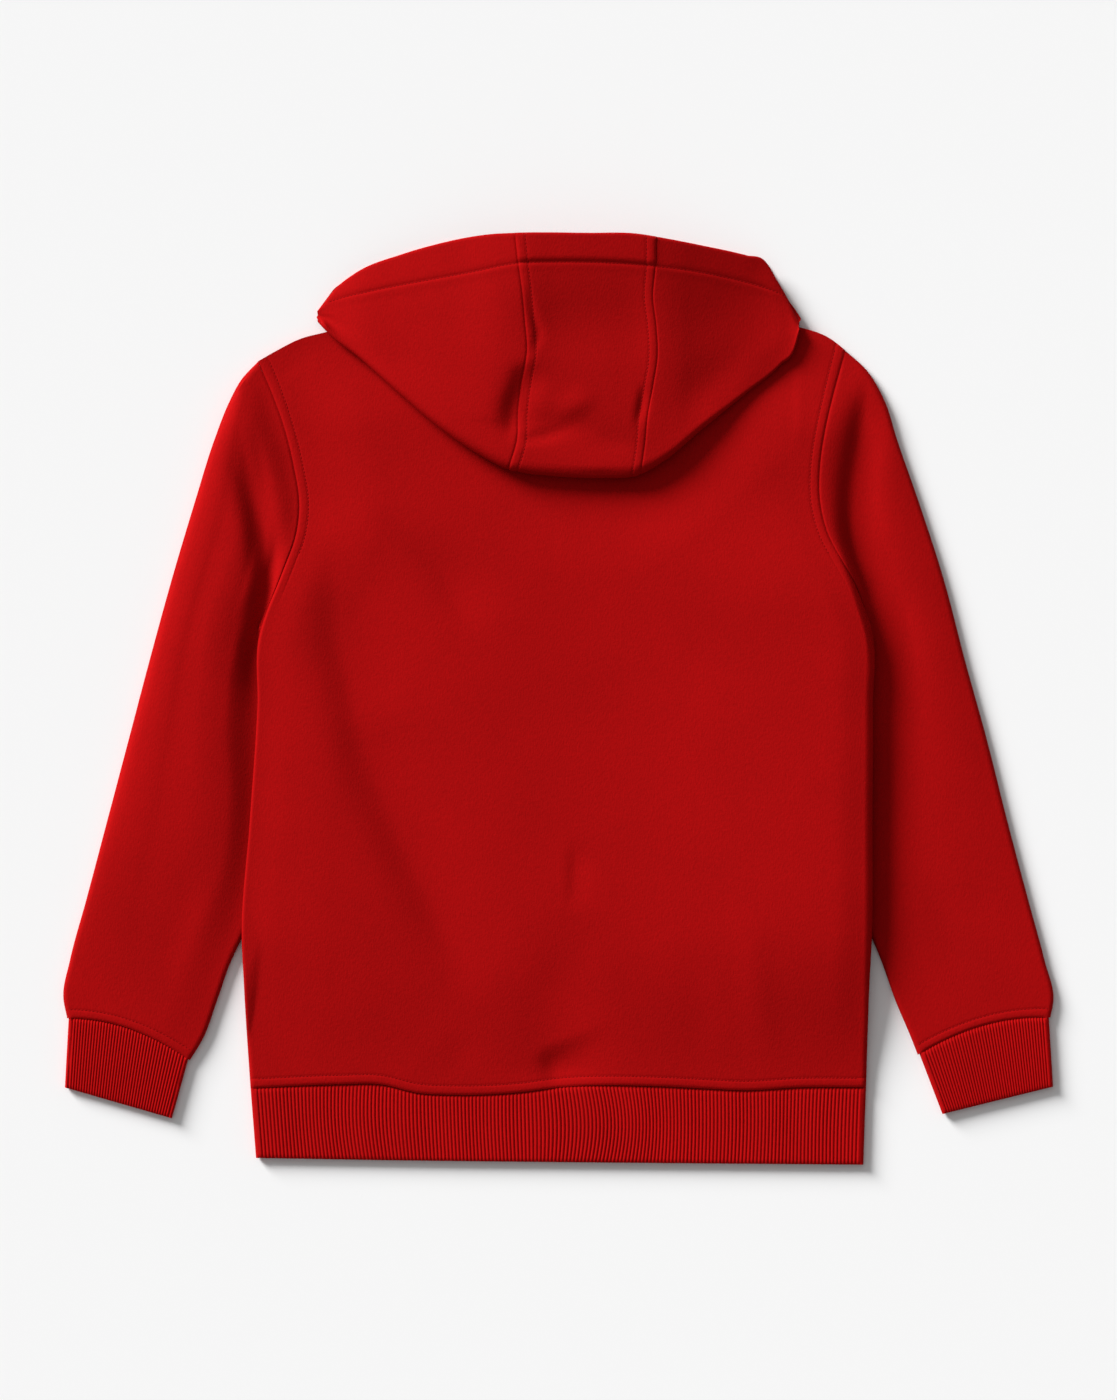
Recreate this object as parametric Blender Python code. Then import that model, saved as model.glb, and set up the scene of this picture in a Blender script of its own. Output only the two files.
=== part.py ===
"""A child's pullover hoodie in brushed fleece, laid flat with its back up.

X runs across the back, Y from the hem to the hood, Z up from the surface it lies on.
Lengths are millimetres here and become metres when a piece is made.
"""

import math
from collections import namedtuple

import bmesh
import bpy
import numpy as np

MM = 0.001
COLLECTION = "kids_hoodie"

# Cloth
FLEECE = 2.2             # brushed sweatshirt fleece, one ply
SEAM_GAP = 0.3           # between two pieces at their seam
PLY_GAP = 1.0            # air between two plies lying on each other
FOLD_RADIUS = FLEECE + PLY_GAP / 2
FLAT_HEIGHT = 2 * FOLD_RADIUS

# Rib knit
RIB_KNIT = 2.4           # doubled rib, one side of the band
RIB_DEPTH = 0.35         # a rib's rise over the mean surface, and its fall
HEM_RIBS = 160
CUFF_RIBS = 36

# Body
ARMHOLE_TOP = ((-210.2, 236.8), (200.7, 244.5))      # left and right shoulder tips
UNDERARM = 48.0          # height of both underarm points
NECK_HALF = 82.0
NECK_POINT = 275.0
BACK_NECK_DROP = 18.0
FRONT_NECK_DROP = 65.0
LEVEL_TOP = 190.0        # rows above this one bend up to the shoulders
BODY_PUFF = 2.3          # most air between back and front

Side = namedtuple("Side", "y left right")
SIDE_LINES = (           # side seams and armholes
    Side(-272.0, -215.4, 215.2),
    Side(-236.0, -217.8, 216.1),
    Side(-200.0, -219.8, 217.2),
    Side(-165.0, -221.4, 218.9),
    Side(-85.0, -215.8, 219.3),
    Side(-5.0, -210.4, 219.6),
    Side(48.0, -208.6, 218.8),
    Side(64.0, -203.4, 213.8),
    Side(80.0, -196.6, 207.4),
    Side(97.0, -189.9, 198.0),
    Side(112.0, -184.4, 189.6),
    Side(135.0, -181.2, 183.0),
    Side(165.0, -185.4, 182.6),
    Side(190.0, -191.6, 186.4),
    Side(215.0, -200.6, 192.4),
    Side(245.0, -214.0, 200.8),
)

Point = namedtuple("Point", "x y")
SHOULDER_LINE = (
    Point(-210.2, 236.8), Point(-195.5, 245.2), Point(-181.5, 252.2), Point(-163.3, 257.1),
    Point(-120.0, 266.0), Point(-82.0, 275.0), Point(82.0, 275.0), Point(120.0, 268.5),
    Point(167.8, 261.0), Point(190.9, 252.2), Point(200.7, 244.5),
)
HEM_SEAM = (
    Point(-216.0, -271.4), Point(-152.8, -268.6), Point(-124.8, -268.6), Point(-96.8, -274.9),
    Point(-75.8, -276.0), Point(-26.8, -274.2), Point(1.2, -270.7), Point(71.2, -270.0),
    Point(99.2, -271.4), Point(130.7, -272.8), Point(169.2, -270.7), Point(216.0, -270.7),
)
HEM_EDGE = (Point(-211.6, -320.3), Point(-110.0, -322.0), Point(0.0, -323.2),
            Point(110.0, -324.2), Point(213.3, -325.0))

BODY_ROWS = (-236.0, -200.0, -165.0, -125.0, -85.0, -45.0, -5.0, 24.0, 48.0, 64.0, 80.0, 97.0,
             112.0, 135.0, 165.0, 190.0)
BODY_COLUMNS = (8.0, 20.0, 36.0, 56.0, 88.0, 123.0, 135.0, 160.0, 182.0)   # in from the side
HALF_WIDTH = 205.0       # the half width that those columns were set out on

# Sleeves: the folded outer edge from shoulder to cuff, and the inner edge from the underarm,
# which runs in beneath the body before it comes out again
SLEEVE_OUTER = (
    (Point(-210.2, 236.8), Point(-222.1, 224.2), Point(-229.8, 210.2), Point(-241.0, 182.2),
     Point(-254.3, 140.2), Point(-271.1, 84.2), Point(-286.5, 28.2), Point(-301.2, -27.8),
     Point(-315.9, -83.8), Point(-330.6, -139.8), Point(-341.8, -181.8), Point(-346.4, -208.0),
     Point(-343.6, -222.6)),
    (Point(200.7, 244.5), Point(215.4, 231.2), Point(228.0, 210.2), Point(237.1, 182.2),
     Point(251.8, 140.2), Point(270.0, 84.2), Point(284.7, 28.2), Point(300.1, -27.8),
     Point(314.1, -83.8), Point(328.8, -139.8), Point(340.0, -181.8), Point(346.3, -210.0),
     Point(344.0, -222.2)),
)
SLEEVE_INNER = (
    (Point(-208.9, 48.0), Point(-213.4, 36.0), Point(-212.6, 19.0), Point(-205.4, -5.0),
     Point(-197.2, -36.0), Point(-194.6, -74.0), Point(-200.4, -118.8),
     Point(-221.4, -167.8), Point(-229.0, -184.0), Point(-238.2, -209.8),
     Point(-248.7, -237.8), Point(-257.5, -252.2)),
    (Point(219.1, 48.0), Point(223.4, 36.0), Point(222.4, 19.0), Point(214.4, -5.0),
     Point(203.6, -36.0), Point(197.6, -74.0), Point(202.0, -118.8),
     Point(218.0, -165.0), Point(225.0, -182.0), Point(235.0, -209.8),
     Point(246.9, -237.8), Point(251.0, -248.3)),
)
SLEEVE_ROWS = (0.0, 0.05, 0.11, 0.18, 0.26, 0.34, 0.42, 0.5, 0.58, 0.66, 0.74, 0.82, 0.9, 0.96, 1.0)
SLEEVE_PUFF = 2.7
UNDERARM_SWEEP = ((0.0, 0.05, 0.11, 0.18, 0.26, 0.42, 0.58, 0.74, 1.0),    # row share, and how
                  (0.0, 10.0, 19.0, 27.0, 31.0, 27.0, 17.0, 7.0, 0.0))     # far it swings out
CUFF_BOW = 8.0           # how far a cuff seam bows up from a straight line
CUFF_END = ((Point(-345.3, -271.0), Point(-270.4, -292.6)),
            (Point(346.0, -270.4), Point(268.6, -289.6)))
CUFF_INSET = 1.2         # a cuff is narrower than its sleeve's end on each side
CUFF_FOLD = 0.05         # share of a cuff's width that a fold may take
TUCK_START = 138.0       # the body starts to ride up over the sleeve here, down the armhole
TUCK_FULL = 98.0         # and lies wholly on it from here
TUCK_MARGIN = 12.0       # the body stays raised this far past the sleeve's inner edge
TUCK_SLOPE = 36.0
TUCK_RISE = FLAT_HEIGHT + PLY_GAP

# Hood
HOOD_REST = FLAT_HEIGHT + 0.5    # underside of the hood where it lies on the back
HOOD_LOWER = (           # rolled lower edge, tip to tip
    Point(-168.6, 264.5), Point(-161.5, 256.4), Point(-138.8, 238.2), Point(-110.8, 213.0),
    Point(-82.8, 189.2), Point(-54.8, 170.3), Point(-35.2, 160.5), Point(-26.8, 158.6),
    Point(1.2, 155.6), Point(29.2, 154.6), Point(57.2, 157.2), Point(74.7, 167.2),
    Point(99.2, 187.8), Point(130.7, 213.7), Point(155.2, 234.0), Point(165.5, 246.5),
    Point(168.2, 256.5),
)
HOOD_RIM = (             # upper edge of the opening, tip to tip
    Point(-168.0, 273.0), Point(-155.0, 288.5), Point(-142.3, 298.0), Point(-109.4, 311.0),
    Point(-89.8, 316.6), Point(-45.7, 324.4), Point(-30.3, 325.0), Point(20.0, 325.0),
    Point(56.0, 324.4), Point(67.7, 322.6), Point(99.2, 317.0), Point(130.7, 310.5),
    Point(144.7, 306.4), Point(156.5, 286.0), Point(167.5, 266.0),
)
GUSSET_LEFT = (-35.2, -28.9, -28.2, -25.6, -21.9, -23.3, -25.2, -28.0, -30.3)    # fold to rim
GUSSET_RIGHT = (57.2, 60.2, 62.2, 66.0, 69.1, 68.2, 65.8, 67.6, 67.7)
NAPE_SEAMS = (-24.0, 31.0)
CENTRE_ROLL = 7.0        # the centre's rolled edge, rim height, crown and hollow
CENTRE_LIP = 16.0
CENTRE_CROWN = (4.6, -0.8)       # at its seams, and the change at its middle
CENTRE_HOLLOW = (2.0, 2.2)
HOOD_TOP_ROWS = (0.0, 0.12, 0.28, 0.45, 0.62, 0.78, 0.9, 1.0)
ROLL_ANGLES = (-60.0, -25.0, 10.0, 45.0, 75.0)

Column = namedtuple("Column", "fold rim roll lip crown neck floor_neck floor_rim")
HOOD_LEFT_COLUMNS = (    # fold, rim, neck and floor_neck are X places; floor_rim is a point
    Column(-168.6, -168.0, 3.4, 9.0, 0.0, None, None, Point(-168.9, 272.0)),
    Column(-160.0, -156.0, 4.2, 12.0, 0.5, None, None, Point(-157.0, 288.0)),
    Column(-145.0, -142.3, 5.2, 14.5, 1.5, -144.0, None, Point(-142.6, 298.6)),
    Column(-127.0, -123.0, 6.0, 15.5, 3.0, -124.0, None, Point(-123.0, 307.0)),
    Column(-107.0, -103.0, 6.6, 16.0, 4.0, -104.0, None, Point(-103.0, 314.0)),
    Column(-87.0, -84.0, 7.0, 16.0, 4.6, -86.0, None, Point(-84.0, 319.4)),
    Column(-69.0, -66.0, 7.0, 16.0, 5.0, -79.0, -79.0, Point(-66.0, 323.0)),
    Column(-52.0, -48.0, 7.0, 16.0, 5.0, -52.0, -45.0, Point(-40.0, 312.0)),
    Column(-35.2, -30.3, 7.0, 16.0, 4.6, -24.0, -0.6, Point(-2.5, 226.0)),
)
HOOD_RIGHT_COLUMNS = (
    Column(168.2, 167.5, 3.4, 9.0, 0.0, None, None, Point(168.4, 266.0)),
    Column(165.2, 156.5, 4.2, 12.0, 0.5, None, None, Point(157.4, 286.5)),
    Column(153.0, 144.7, 5.2, 14.5, 1.5, 150.0, None, Point(144.7, 306.8)),
    Column(135.0, 130.7, 6.0, 15.5, 3.0, 130.0, None, Point(130.7, 311.6)),
    Column(118.0, 115.0, 6.6, 16.0, 4.0, 108.0, None, Point(115.0, 315.0)),
    Column(102.0, 99.2, 7.0, 16.0, 4.6, 86.0, None, Point(99.2, 318.4)),
    Column(87.0, 88.0, 7.0, 16.0, 5.0, 77.0, 77.0, Point(80.0, 321.0)),
    Column(72.0, 78.0, 7.0, 16.0, 5.0, 56.0, 45.0, Point(48.0, 312.0)),
    Column(57.2, 67.7, 7.0, 16.0, 4.6, 31.0, 0.6, Point(3.5, 226.0)),
)
LAST_COLUMN_OVER_SHOULDER = 5
SHOULDER_STEPS = (-3.0, 1.5, 4.0, 6.5, 9.5)    # rows across the shoulder, out from its line
TIP_ROWS = (0.0, 0.02, 0.04, 0.06, 0.1, 0.25, 0.4, 0.55, 0.7, 0.85, 1.0)    # beyond it

Crease = namedtuple("Crease", "start bend end width depth")
BACK_CREASES = (
    Crease(Point(-172.0, 96.0), Point(-146.0, -20.0), Point(-64.0, -182.0), 17.0, 1.3),
    Crease(Point(8.0, -96.0), Point(11.0, -120.0), Point(11.0, -146.0), 9.0, 1.2),
    Crease(Point(2.0, -160.0), Point(-4.0, -210.0), Point(-12.0, -258.0), 26.0, 1.7),
)
SLEEVE_CREASES = (
    (Crease(Point(-231.0, 189.0), Point(-214.0, 110.0), Point(-214.0, 10.0), 11.0, 2.0),
     Crease(Point(-275.0, 14.0), Point(-276.0, -40.0), Point(-280.0, -92.0), 14.0, 1.2)),
    (Crease(Point(214.0, 206.0), Point(206.0, 120.0), Point(226.0, 10.0), 13.0, 2.0),
     Crease(Point(281.0, 10.0), Point(272.0, -60.0), Point(283.0, -130.0), 15.0, 1.2)),
)

FLEECE_RED = (0.36, 0.0045, 0.0055)
RIB_RED = (0.37, 0.0070, 0.0080)


# Curves and blends

def smooth(value):
    """Ease from 0 to 1 without a corner at either end."""
    value = np.clip(value, 0.0, 1.0)
    return value * value * (3.0 - 2.0 * value)


def curve_value(places, values, at):
    """A cubic through the given values, with no corner at them."""
    places = np.asarray(places, float)
    values = np.asarray(values, float)
    slopes = np.gradient(values, places)
    at = np.clip(at, places[0], places[-1])
    span = np.clip(np.searchsorted(places, at, side="right") - 1, 0, len(places) - 2)
    width = places[span + 1] - places[span]
    part = (at - places[span]) / width
    rise = values[span + 1] - values[span]
    lead = slopes[span] * width
    trail = slopes[span + 1] * width
    return (values[span] + lead * part + (3 * rise - 2 * lead - trail) * part ** 2
            + (lead + trail - 2 * rise) * part ** 3)


def height_of(line, x):
    """The Y of a left-to-right line of points at x."""
    return curve_value([point.x for point in line], [point.y for point in line], x)


def along(line, share):
    """The plan point a given share of the way along a smooth line of points."""
    points = np.array(line, float)
    steps = np.hypot(*np.diff(points, axis=0).T)
    places = np.concatenate(([0.0], np.cumsum(steps))) / steps.sum()
    return np.array([curve_value(places, points[:, axis], share) for axis in (0, 1)])


def along_straight(points, places, share):
    """The plan point at a share, on straight runs between points at their places."""
    return np.array([np.interp(share, places, points[:, axis]) for axis in (0, 1)])


def side_x(y, right):
    values = [row.right if right else row.left for row in SIDE_LINES]
    return curve_value([row.y for row in SIDE_LINES], values, y)


def crease_depth(creases, x, y):
    """Depth of the creases at a place: each is a soft trough, deepest at its middle."""
    depth = 0.0
    for crease in creases:
        start, bend, end = (np.array(point) for point in crease[:3])
        shares = np.linspace(0.0, 1.0, 17)[:, None]
        route = (1 - shares) ** 2 * start + 2 * shares * (1 - shares) * bend + shares ** 2 * end
        away = np.hypot(route[:, 0] - x, route[:, 1] - y)
        fade = np.sin(math.pi * np.clip(shares[:, 0], 0.08, 0.92))
        depth += crease.depth * np.max(fade * np.exp(-(away / crease.width) ** 2))
    return depth


# The body's lift over the sleeves' tucked edges

def sleeve_reach(y, right):
    """X of a sleeve's inner edge at a height on the garment."""
    line = sorted(SLEEVE_INNER[right], key=lambda point: point.y)
    return curve_value([point.y for point in line], [point.x for point in line], y)


def lift(x, y):
    left = x - sleeve_reach(y, 0)
    right = sleeve_reach(y, 1) - x
    inward = min(left, right)
    across = smooth(1.0 - (inward - TUCK_MARGIN) / TUCK_SLOPE)
    below_armhole = smooth((TUCK_START - y) / (TUCK_START - TUCK_FULL))
    above_hem = smooth((y + 268.0) / 36.0)
    return TUCK_RISE * across * below_armhole * above_hem


def body_puff(x, y):
    """Air between back and front, none at the edges or beneath the hood."""
    side_room = min(x - side_x(y, 0), side_x(y, 1) - x)
    hood_room = height_of(HOOD_LOWER, x) - 14.0 - y
    return BODY_PUFF * smooth((side_room - 8.0) / 50.0) * smooth(hood_room / 60.0) \
        * smooth((y + 270.0) / 36.0)


# Making a piece

def new_material(name, colour, roughness):
    material = bpy.data.materials.new(name)
    material.use_nodes = True
    shader = material.node_tree.nodes["Principled BSDF"]
    shader.inputs["Base Color"].default_value = (*colour, 1.0)
    shader.inputs["Roughness"].default_value = roughness
    shader.inputs["Metallic"].default_value = 0.0
    return material


def new_piece(name, points, faces, colour):
    mesh = bpy.data.meshes.new(name)
    mesh.from_pydata([tuple(MM * value for value in point) for point in points], [], faces)
    build = bmesh.new()
    build.from_mesh(mesh)
    bmesh.ops.recalc_face_normals(build, faces=build.faces)
    build.to_mesh(mesh)
    build.free()
    mesh.shade_smooth()
    mesh.set_sharp_from_angle(angle=math.radians(50))
    mesh.materials.append(new_material(name + "_cloth", colour, 0.9))
    piece = bpy.data.objects.new(name, mesh)
    bpy.data.collections[COLLECTION].objects.link(piece)
    return piece


def sheet(name, outer, inner, keep=None):
    """A wall of cloth between two grids of points, with its cut edges closed.

    keep says which cells of the grid are cloth; the rest are openings in the piece.
    """
    rows, columns = outer.shape[:2]
    if keep is None:
        keep = np.ones((rows - 1, columns - 1), bool)
    count = rows * columns
    corner_faces = []
    edges = {}
    for row in range(rows - 1):
        for column in range(columns - 1):
            if not keep[row, column]:
                continue
            corner = row * columns + column
            loop = (corner, corner + 1, corner + columns + 1, corner + columns)
            corner_faces.append(loop)
            for first, second in zip(loop, loop[1:] + loop[:1]):
                edges[(first, second)] = True
    faces = list(corner_faces)
    faces += [tuple(count + index for index in reversed(loop)) for loop in corner_faces]
    faces += [(second, first, count + first, count + second)
              for first, second in edges if (second, first) not in edges]
    used = sorted({index for face in faces for index in face})
    renumber = {index: place for place, index in enumerate(used)}
    points = np.concatenate((outer.reshape(-1, 3), inner.reshape(-1, 3)))[used]
    faces = [tuple(renumber[index] for index in face) for face in faces]
    return new_piece(name, points, faces, FLEECE_RED)


def tube(name, outer, inner, anchors, colour):
    """A flattened tube of cloth between an outer and an inner run of rings.

    anchors gives, for each point of an inner ring, its place on the outer ring.
    """
    rows, around = outer.shape[:2]
    inside = inner.shape[1]
    count = rows * around
    faces = []
    for row in range(rows - 1):
        for place in range(around):
            after = (place + 1) % around
            faces.append((row * around + place, row * around + after,
                          (row + 1) * around + after, (row + 1) * around + place))
        for place in range(inside):
            after = (place + 1) % inside
            faces.append((count + row * inside + after, count + row * inside + place,
                          count + (row + 1) * inside + place, count + (row + 1) * inside + after))
    for row, turn in ((0, -1), (rows - 1, 1)):
        for place in range(inside):
            after = (place + 1) % inside
            last = anchors[after] if after else around
            rim = [row * around + step % around for step in range(anchors[place], last + 1)]
            rim += [count + row * inside + after, count + row * inside + place]
            faces.append(tuple(rim[::turn]))
    points = np.concatenate((outer.reshape(-1, 3), inner.reshape(-1, 3)))
    return new_piece(name, points, faces, colour)


# Body panels

def edge_profile(turn):
    """How a panel's edge ends, from its outermost point in: cut flat for turn 0, and for
    turn 1 rolled over the side fold to meet the other panel halfway down.

    Each row gives (distance in from the edge, fall) for the outer and the inner skin.
    """
    steps = []
    for flat_distance, angle in ((0.0, 86.8), (FOLD_RADIUS / 2, 45.0), (FOLD_RADIUS, 0.0)):
        out = math.sin(math.radians(angle))
        fall = 1.0 - math.cos(math.radians(angle))
        skins = []
        for radius in (FOLD_RADIUS, FOLD_RADIUS - FLEECE):
            distance = flat_distance + turn * (FOLD_RADIUS - radius * out - flat_distance)
            skins.append((distance, turn * radius * fall))
        steps.append(skins)
    return steps


def side_turn(y):
    return float(smooth((104.0 - y) / 48.0))


def shoulder_turn(x):
    return float(smooth((abs(x) - NECK_HALF - 2.0) / 10.0))


def top_line(x, neck_drop):
    """The shoulder line, with the neckline's scoop between the neck points."""
    scoop = neck_drop * math.sqrt(max(0.0, 1.0 - (x / NECK_HALF) ** 2))
    return float(height_of(SHOULDER_LINE, x)) - scoop


def body_row(sides, curl):
    """X places of a row's columns, and the fall of its ends, for the outer and inner skin."""
    profile = edge_profile(curl)
    middle = (sides[0] + sides[1]) / 2
    half = (sides[1] - sides[0]) / 2
    columns = []
    for skin in (0, 1):
        edge = [(step[skin][0], step[skin][1]) for step in profile]
        inward = edge + [(distance * half / HALF_WIDTH, 0.0) for distance in BODY_COLUMNS]
        left = [(sides[0] + distance, fall) for distance, fall in inward]
        right = [(sides[1] - distance, fall) for distance, fall in reversed(inward)]
        columns.append(left + [(middle, 0.0)] + right)
    return columns


def panel_skins(neck_drop, surface):
    """Outer and inner grids of a body panel.

    surface gives (outer height, inner height, direction of an edge's fall) at a place.
    """
    skins = ([], [])

    def add_row(sides, side_level, row_y):
        for skin in (0, 1):
            skin_sides = sides(skin) if callable(sides) else sides
            row = []
            for x, fall in body_row(skin_sides, side_turn(side_level))[skin]:
                y, extra_fall = row_y(x, skin)
                heights = surface(x, y)
                row.append((x, y, heights[skin] + heights[2] * (fall + extra_fall)))
            skins[skin].append(row)

    def level_sides(y):
        return side_x(y, 0), side_x(y, 1)

    add_row(level_sides(-272.0), -272.0,
            lambda x, skin: (float(height_of(HEM_SEAM, x)) + SEAM_GAP, 0.0))
    for level in BODY_ROWS:
        add_row(level_sides(level), level, lambda x, skin, y=level: (y, 0.0))

    tips = ARMHOLE_TOP[0][1], ARMHOLE_TOP[1][1]
    for share in (0.5, 0.86):
        heights = [LEVEL_TOP + share * (tip - LEVEL_TOP) for tip in tips]
        add_row((side_x(heights[0], 0), side_x(heights[1], 1)), heights[0],
                lambda x, skin, share=share:
                (LEVEL_TOP + share * (top_line(x, neck_drop) - LEVEL_TOP), 0.0))
    for step in (2, 1, 0):
        def edge_row(x, skin, step=step):
            distance, fall = edge_profile(shoulder_turn(x))[step][skin]
            return top_line(x, neck_drop) - distance, fall

        def edge_sides(skin, step=step):
            distance = edge_profile(1.0)[step][skin][0]
            return [np.interp(tips[right] - distance, (heights[right], tips[right]),
                              (side_x(heights[right], right), ARMHOLE_TOP[right][0]))
                    for right in (0, 1)]
        add_row(edge_sides, tips[0], edge_row)
    return np.array(skins[0]), np.array(skins[1])


def back_surface(x, y):
    rise = body_puff(x, y)
    crease = min(float(crease_depth(BACK_CREASES, x, y)), rise)
    top = FLAT_HEIGHT + lift(x, y) + rise - crease
    return top, top - FLEECE, -1.0


def front_surface(x, y):
    under = lift(x, y)
    return under, under + FLEECE, 1.0


def make_body():
    sheet("back_panel", *panel_skins(BACK_NECK_DROP, back_surface))
    sheet("front_panel", *panel_skins(FRONT_NECK_DROP, front_surface))


# Sleeves, cuffs and hem band

def coons(first, last, outer_edge, inner_edge):
    """A plan patch between four edges: (row share, column share) to a point."""
    corners = first(0.0), first(1.0), last(0.0), last(1.0)

    def point(row, column):
        straight = ((1 - row) * ((1 - column) * corners[0] + column * corners[1])
                    + row * ((1 - column) * corners[2] + column * corners[3]))
        return ((1 - row) * first(column) + row * last(column)
                + (1 - column) * outer_edge(row) + column * inner_edge(row) - straight)
    return point


def ring(plan, row, columns, low_columns, top, radius, wall):
    """One outer and one inner ring of a flattened tube with round folds.

    top gives the height of the upper ply over its flat height.
    """
    width = np.hypot(*(plan(row, 1.0) - plan(row, 0.0)))
    inset = radius / width
    outer = []
    inner = []

    def ply(shares, upper):
        for share in shares:
            x, y = plan(row, share)
            height = 2 * radius + top(row, share, x, y) if upper else 0.0
            outer.append((x, y, height))
            inner.append((x, y, height - wall if upper else wall))

    def fold(share, edge_share, angles):
        centre = plan(row, share)
        outward = plan(row, edge_share) - centre
        outward /= np.hypot(*outward)
        for angle in angles:
            reach = math.cos(math.radians(angle))
            rise = math.sin(math.radians(angle))
            for skin, size in ((outer, radius), (inner, radius - wall)):
                skin.append((*(centre + outward * size * reach), radius + size * rise))

    ply([inset, *columns, 1 - inset], True)
    fold(1 - inset, 1.0, (50, 0, -50))
    ply([1 - inset, *reversed(low_columns), inset], False)
    fold(inset, 0.0, (-50, 0, 50))
    return outer, inner


def armhole_points(right):
    """The body's armhole from shoulder tip to underarm, moved out by the seam's gap."""
    tip_x, tip_y = ARMHOLE_TOP[right]
    levels = [LEVEL_TOP + share * (tip_y - LEVEL_TOP) for share in (1.0, 0.86, 0.5)]
    levels += [level for level in reversed(BODY_ROWS) if level >= UNDERARM]
    out = SEAM_GAP if right else -SEAM_GAP
    points = [(side_x(level, right) + out, level) for level in levels]
    points[0] = (tip_x + out, tip_y)
    return np.array(points)


def shares_along(points):
    steps = np.hypot(*np.diff(points, axis=0).T)
    return np.concatenate(([0.0], np.cumsum(steps))) / steps.sum()


def cuff_seam_points(right, places):
    """The cuff seam from the outer to the inner edge, bowed up between them."""
    start = np.array(SLEEVE_OUTER[right][-1])
    end = np.array(SLEEVE_INNER[right][-1])
    bow = np.array((0.0, CUFF_BOW))
    return np.array([start + (end - start) * share + bow * 4 * share * (1 - share)
                     for share in places])


def sleeve_plan(right):
    armhole = armhole_points(right)
    places = shares_along(armhole)
    cuff = cuff_seam_points(right, places)
    outer_line = (tuple(armhole[0]), *SLEEVE_OUTER[right][1:])
    inner_line = (tuple(armhole[-1]), *SLEEVE_INNER[right][1:])
    patch = coons(
        lambda share: along_straight(armhole, places, share),
        lambda share: along_straight(cuff, places, share),
        lambda share: along(outer_line, 1 - (1 - share) ** 1.35),
        lambda share: along(inner_line, share ** 1.3))

    def plan(row, share):
        """Rows swing out round the underarm, and the sleeve keeps clear of the armhole until
        the body is high enough to pass over."""
        x, y = patch(row, share)
        swing = np.interp(row, *UNDERARM_SWEEP) * math.sin(math.pi * share ** 1.5)
        x += swing if right else -swing
        if row > 0.0:
            slack = 2 * SEAM_GAP - 1.5 * max(0.0, TUCK_FULL - 4.0 - y)
            limit = float(side_x(y, right)) + (slack if right else -slack)
            x = max(x, limit) if right else min(x, limit)
        return np.array((x, y))
    return places, plan


def make_sleeve(right):
    places, plan = sleeve_plan(right)
    toward_body = -1 if right else 1

    def top(row, share, x, y):
        clear_of_body = (side_x(y, right) - x) * toward_body
        rise = SLEEVE_PUFF * float(smooth((clear_of_body - 7.0) / 30.0)) \
            * math.sin(math.pi * share) ** 0.7 * float(smooth(row / 0.12)) \
            * float(smooth((1.0 - row) / 0.06))
        crease = float(crease_depth(SLEEVE_CREASES[right], x, y))
        return rise - min(crease, rise)

    rings = [ring(plan, row, places[1:-1], places[1:-1], top, FOLD_RADIUS, FLEECE)
             for row in SLEEVE_ROWS]
    outer = np.array([pair[0] for pair in rings])
    inner = np.array([pair[1] for pair in rings])
    name = "sleeve_right" if right else "sleeve_left"
    tube(name, outer, inner, range(outer.shape[1]), FLEECE_RED)


def ribbed_tube(name, plan, rows, ribs, plain_columns):
    """A band of rib knit: its ribs stand on the upper ply, over a plain inside."""
    last = 2 * ribs + 2
    radius = RIB_KNIT + PLY_GAP / 2
    outer = []
    inner = []
    for row, pinch in rows:
        inset = radius / np.hypot(*(plan(row, 1.0) - plan(row, 0.0)))

        def column_of(share):
            return round((share - inset) / (1 - 2 * inset) * last)

        def top(place, share, x, y):
            column = column_of(share)
            height = RIB_DEPTH if column % 2 else -RIB_DEPTH
            return (height if 0 < column < last else 0.0) - pinch
        shares = [inset + (1 - 2 * inset) * column / last for column in range(1, last)]
        outer_ring, inner_ring = ring(plan, row, shares, plain_columns, top, radius, RIB_KNIT)
        flat = [(x, y, 2 * radius - RIB_KNIT - pinch) for x, y, z in inner_ring[:last + 1]]
        kept = [0, *(column_of(share) for share in plain_columns), last]
        inner.append([flat[index] for index in kept] + inner_ring[last + 1:])
        outer.append(outer_ring)
    around = len(outer[0])
    anchors = kept + list(range(last + 1, around))
    tube(name, np.array(outer), np.array(inner), anchors, RIB_RED)


def make_cuff(right):
    places = shares_along(armhole_points(right))
    seam = cuff_seam_points(right, places)
    across = seam[-1] - seam[0]
    inward = across / np.hypot(*across)
    down = np.array((-inward[1], inward[0])) * (1 if right else -1)
    down *= -1 if down[1] > 0 else 1
    seam = seam + down * SEAM_GAP
    start, end = (np.array(point) for point in CUFF_END[right])
    ease = CUFF_INSET / np.hypot(*across)

    def top_edge(share):
        return along_straight(seam, places, ease + share * (1 - 2 * ease))

    plan = coons(top_edge,
                 lambda share: start + (end - start) * share,
                 lambda share: top_edge(0.0) + (start - top_edge(0.0)) * share,
                 lambda share: top_edge(1.0) + (end - top_edge(1.0)) * share)
    rows = ((0.0, 0.0), (0.5, 0.0), (0.97, 0.0), (1.0, 0.7))
    plain_columns = [place for place in places if CUFF_FOLD < place < 1 - CUFF_FOLD]
    ribbed_tube("cuff_right" if right else "cuff_left", plan, rows, CUFF_RIBS, plain_columns)


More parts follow.
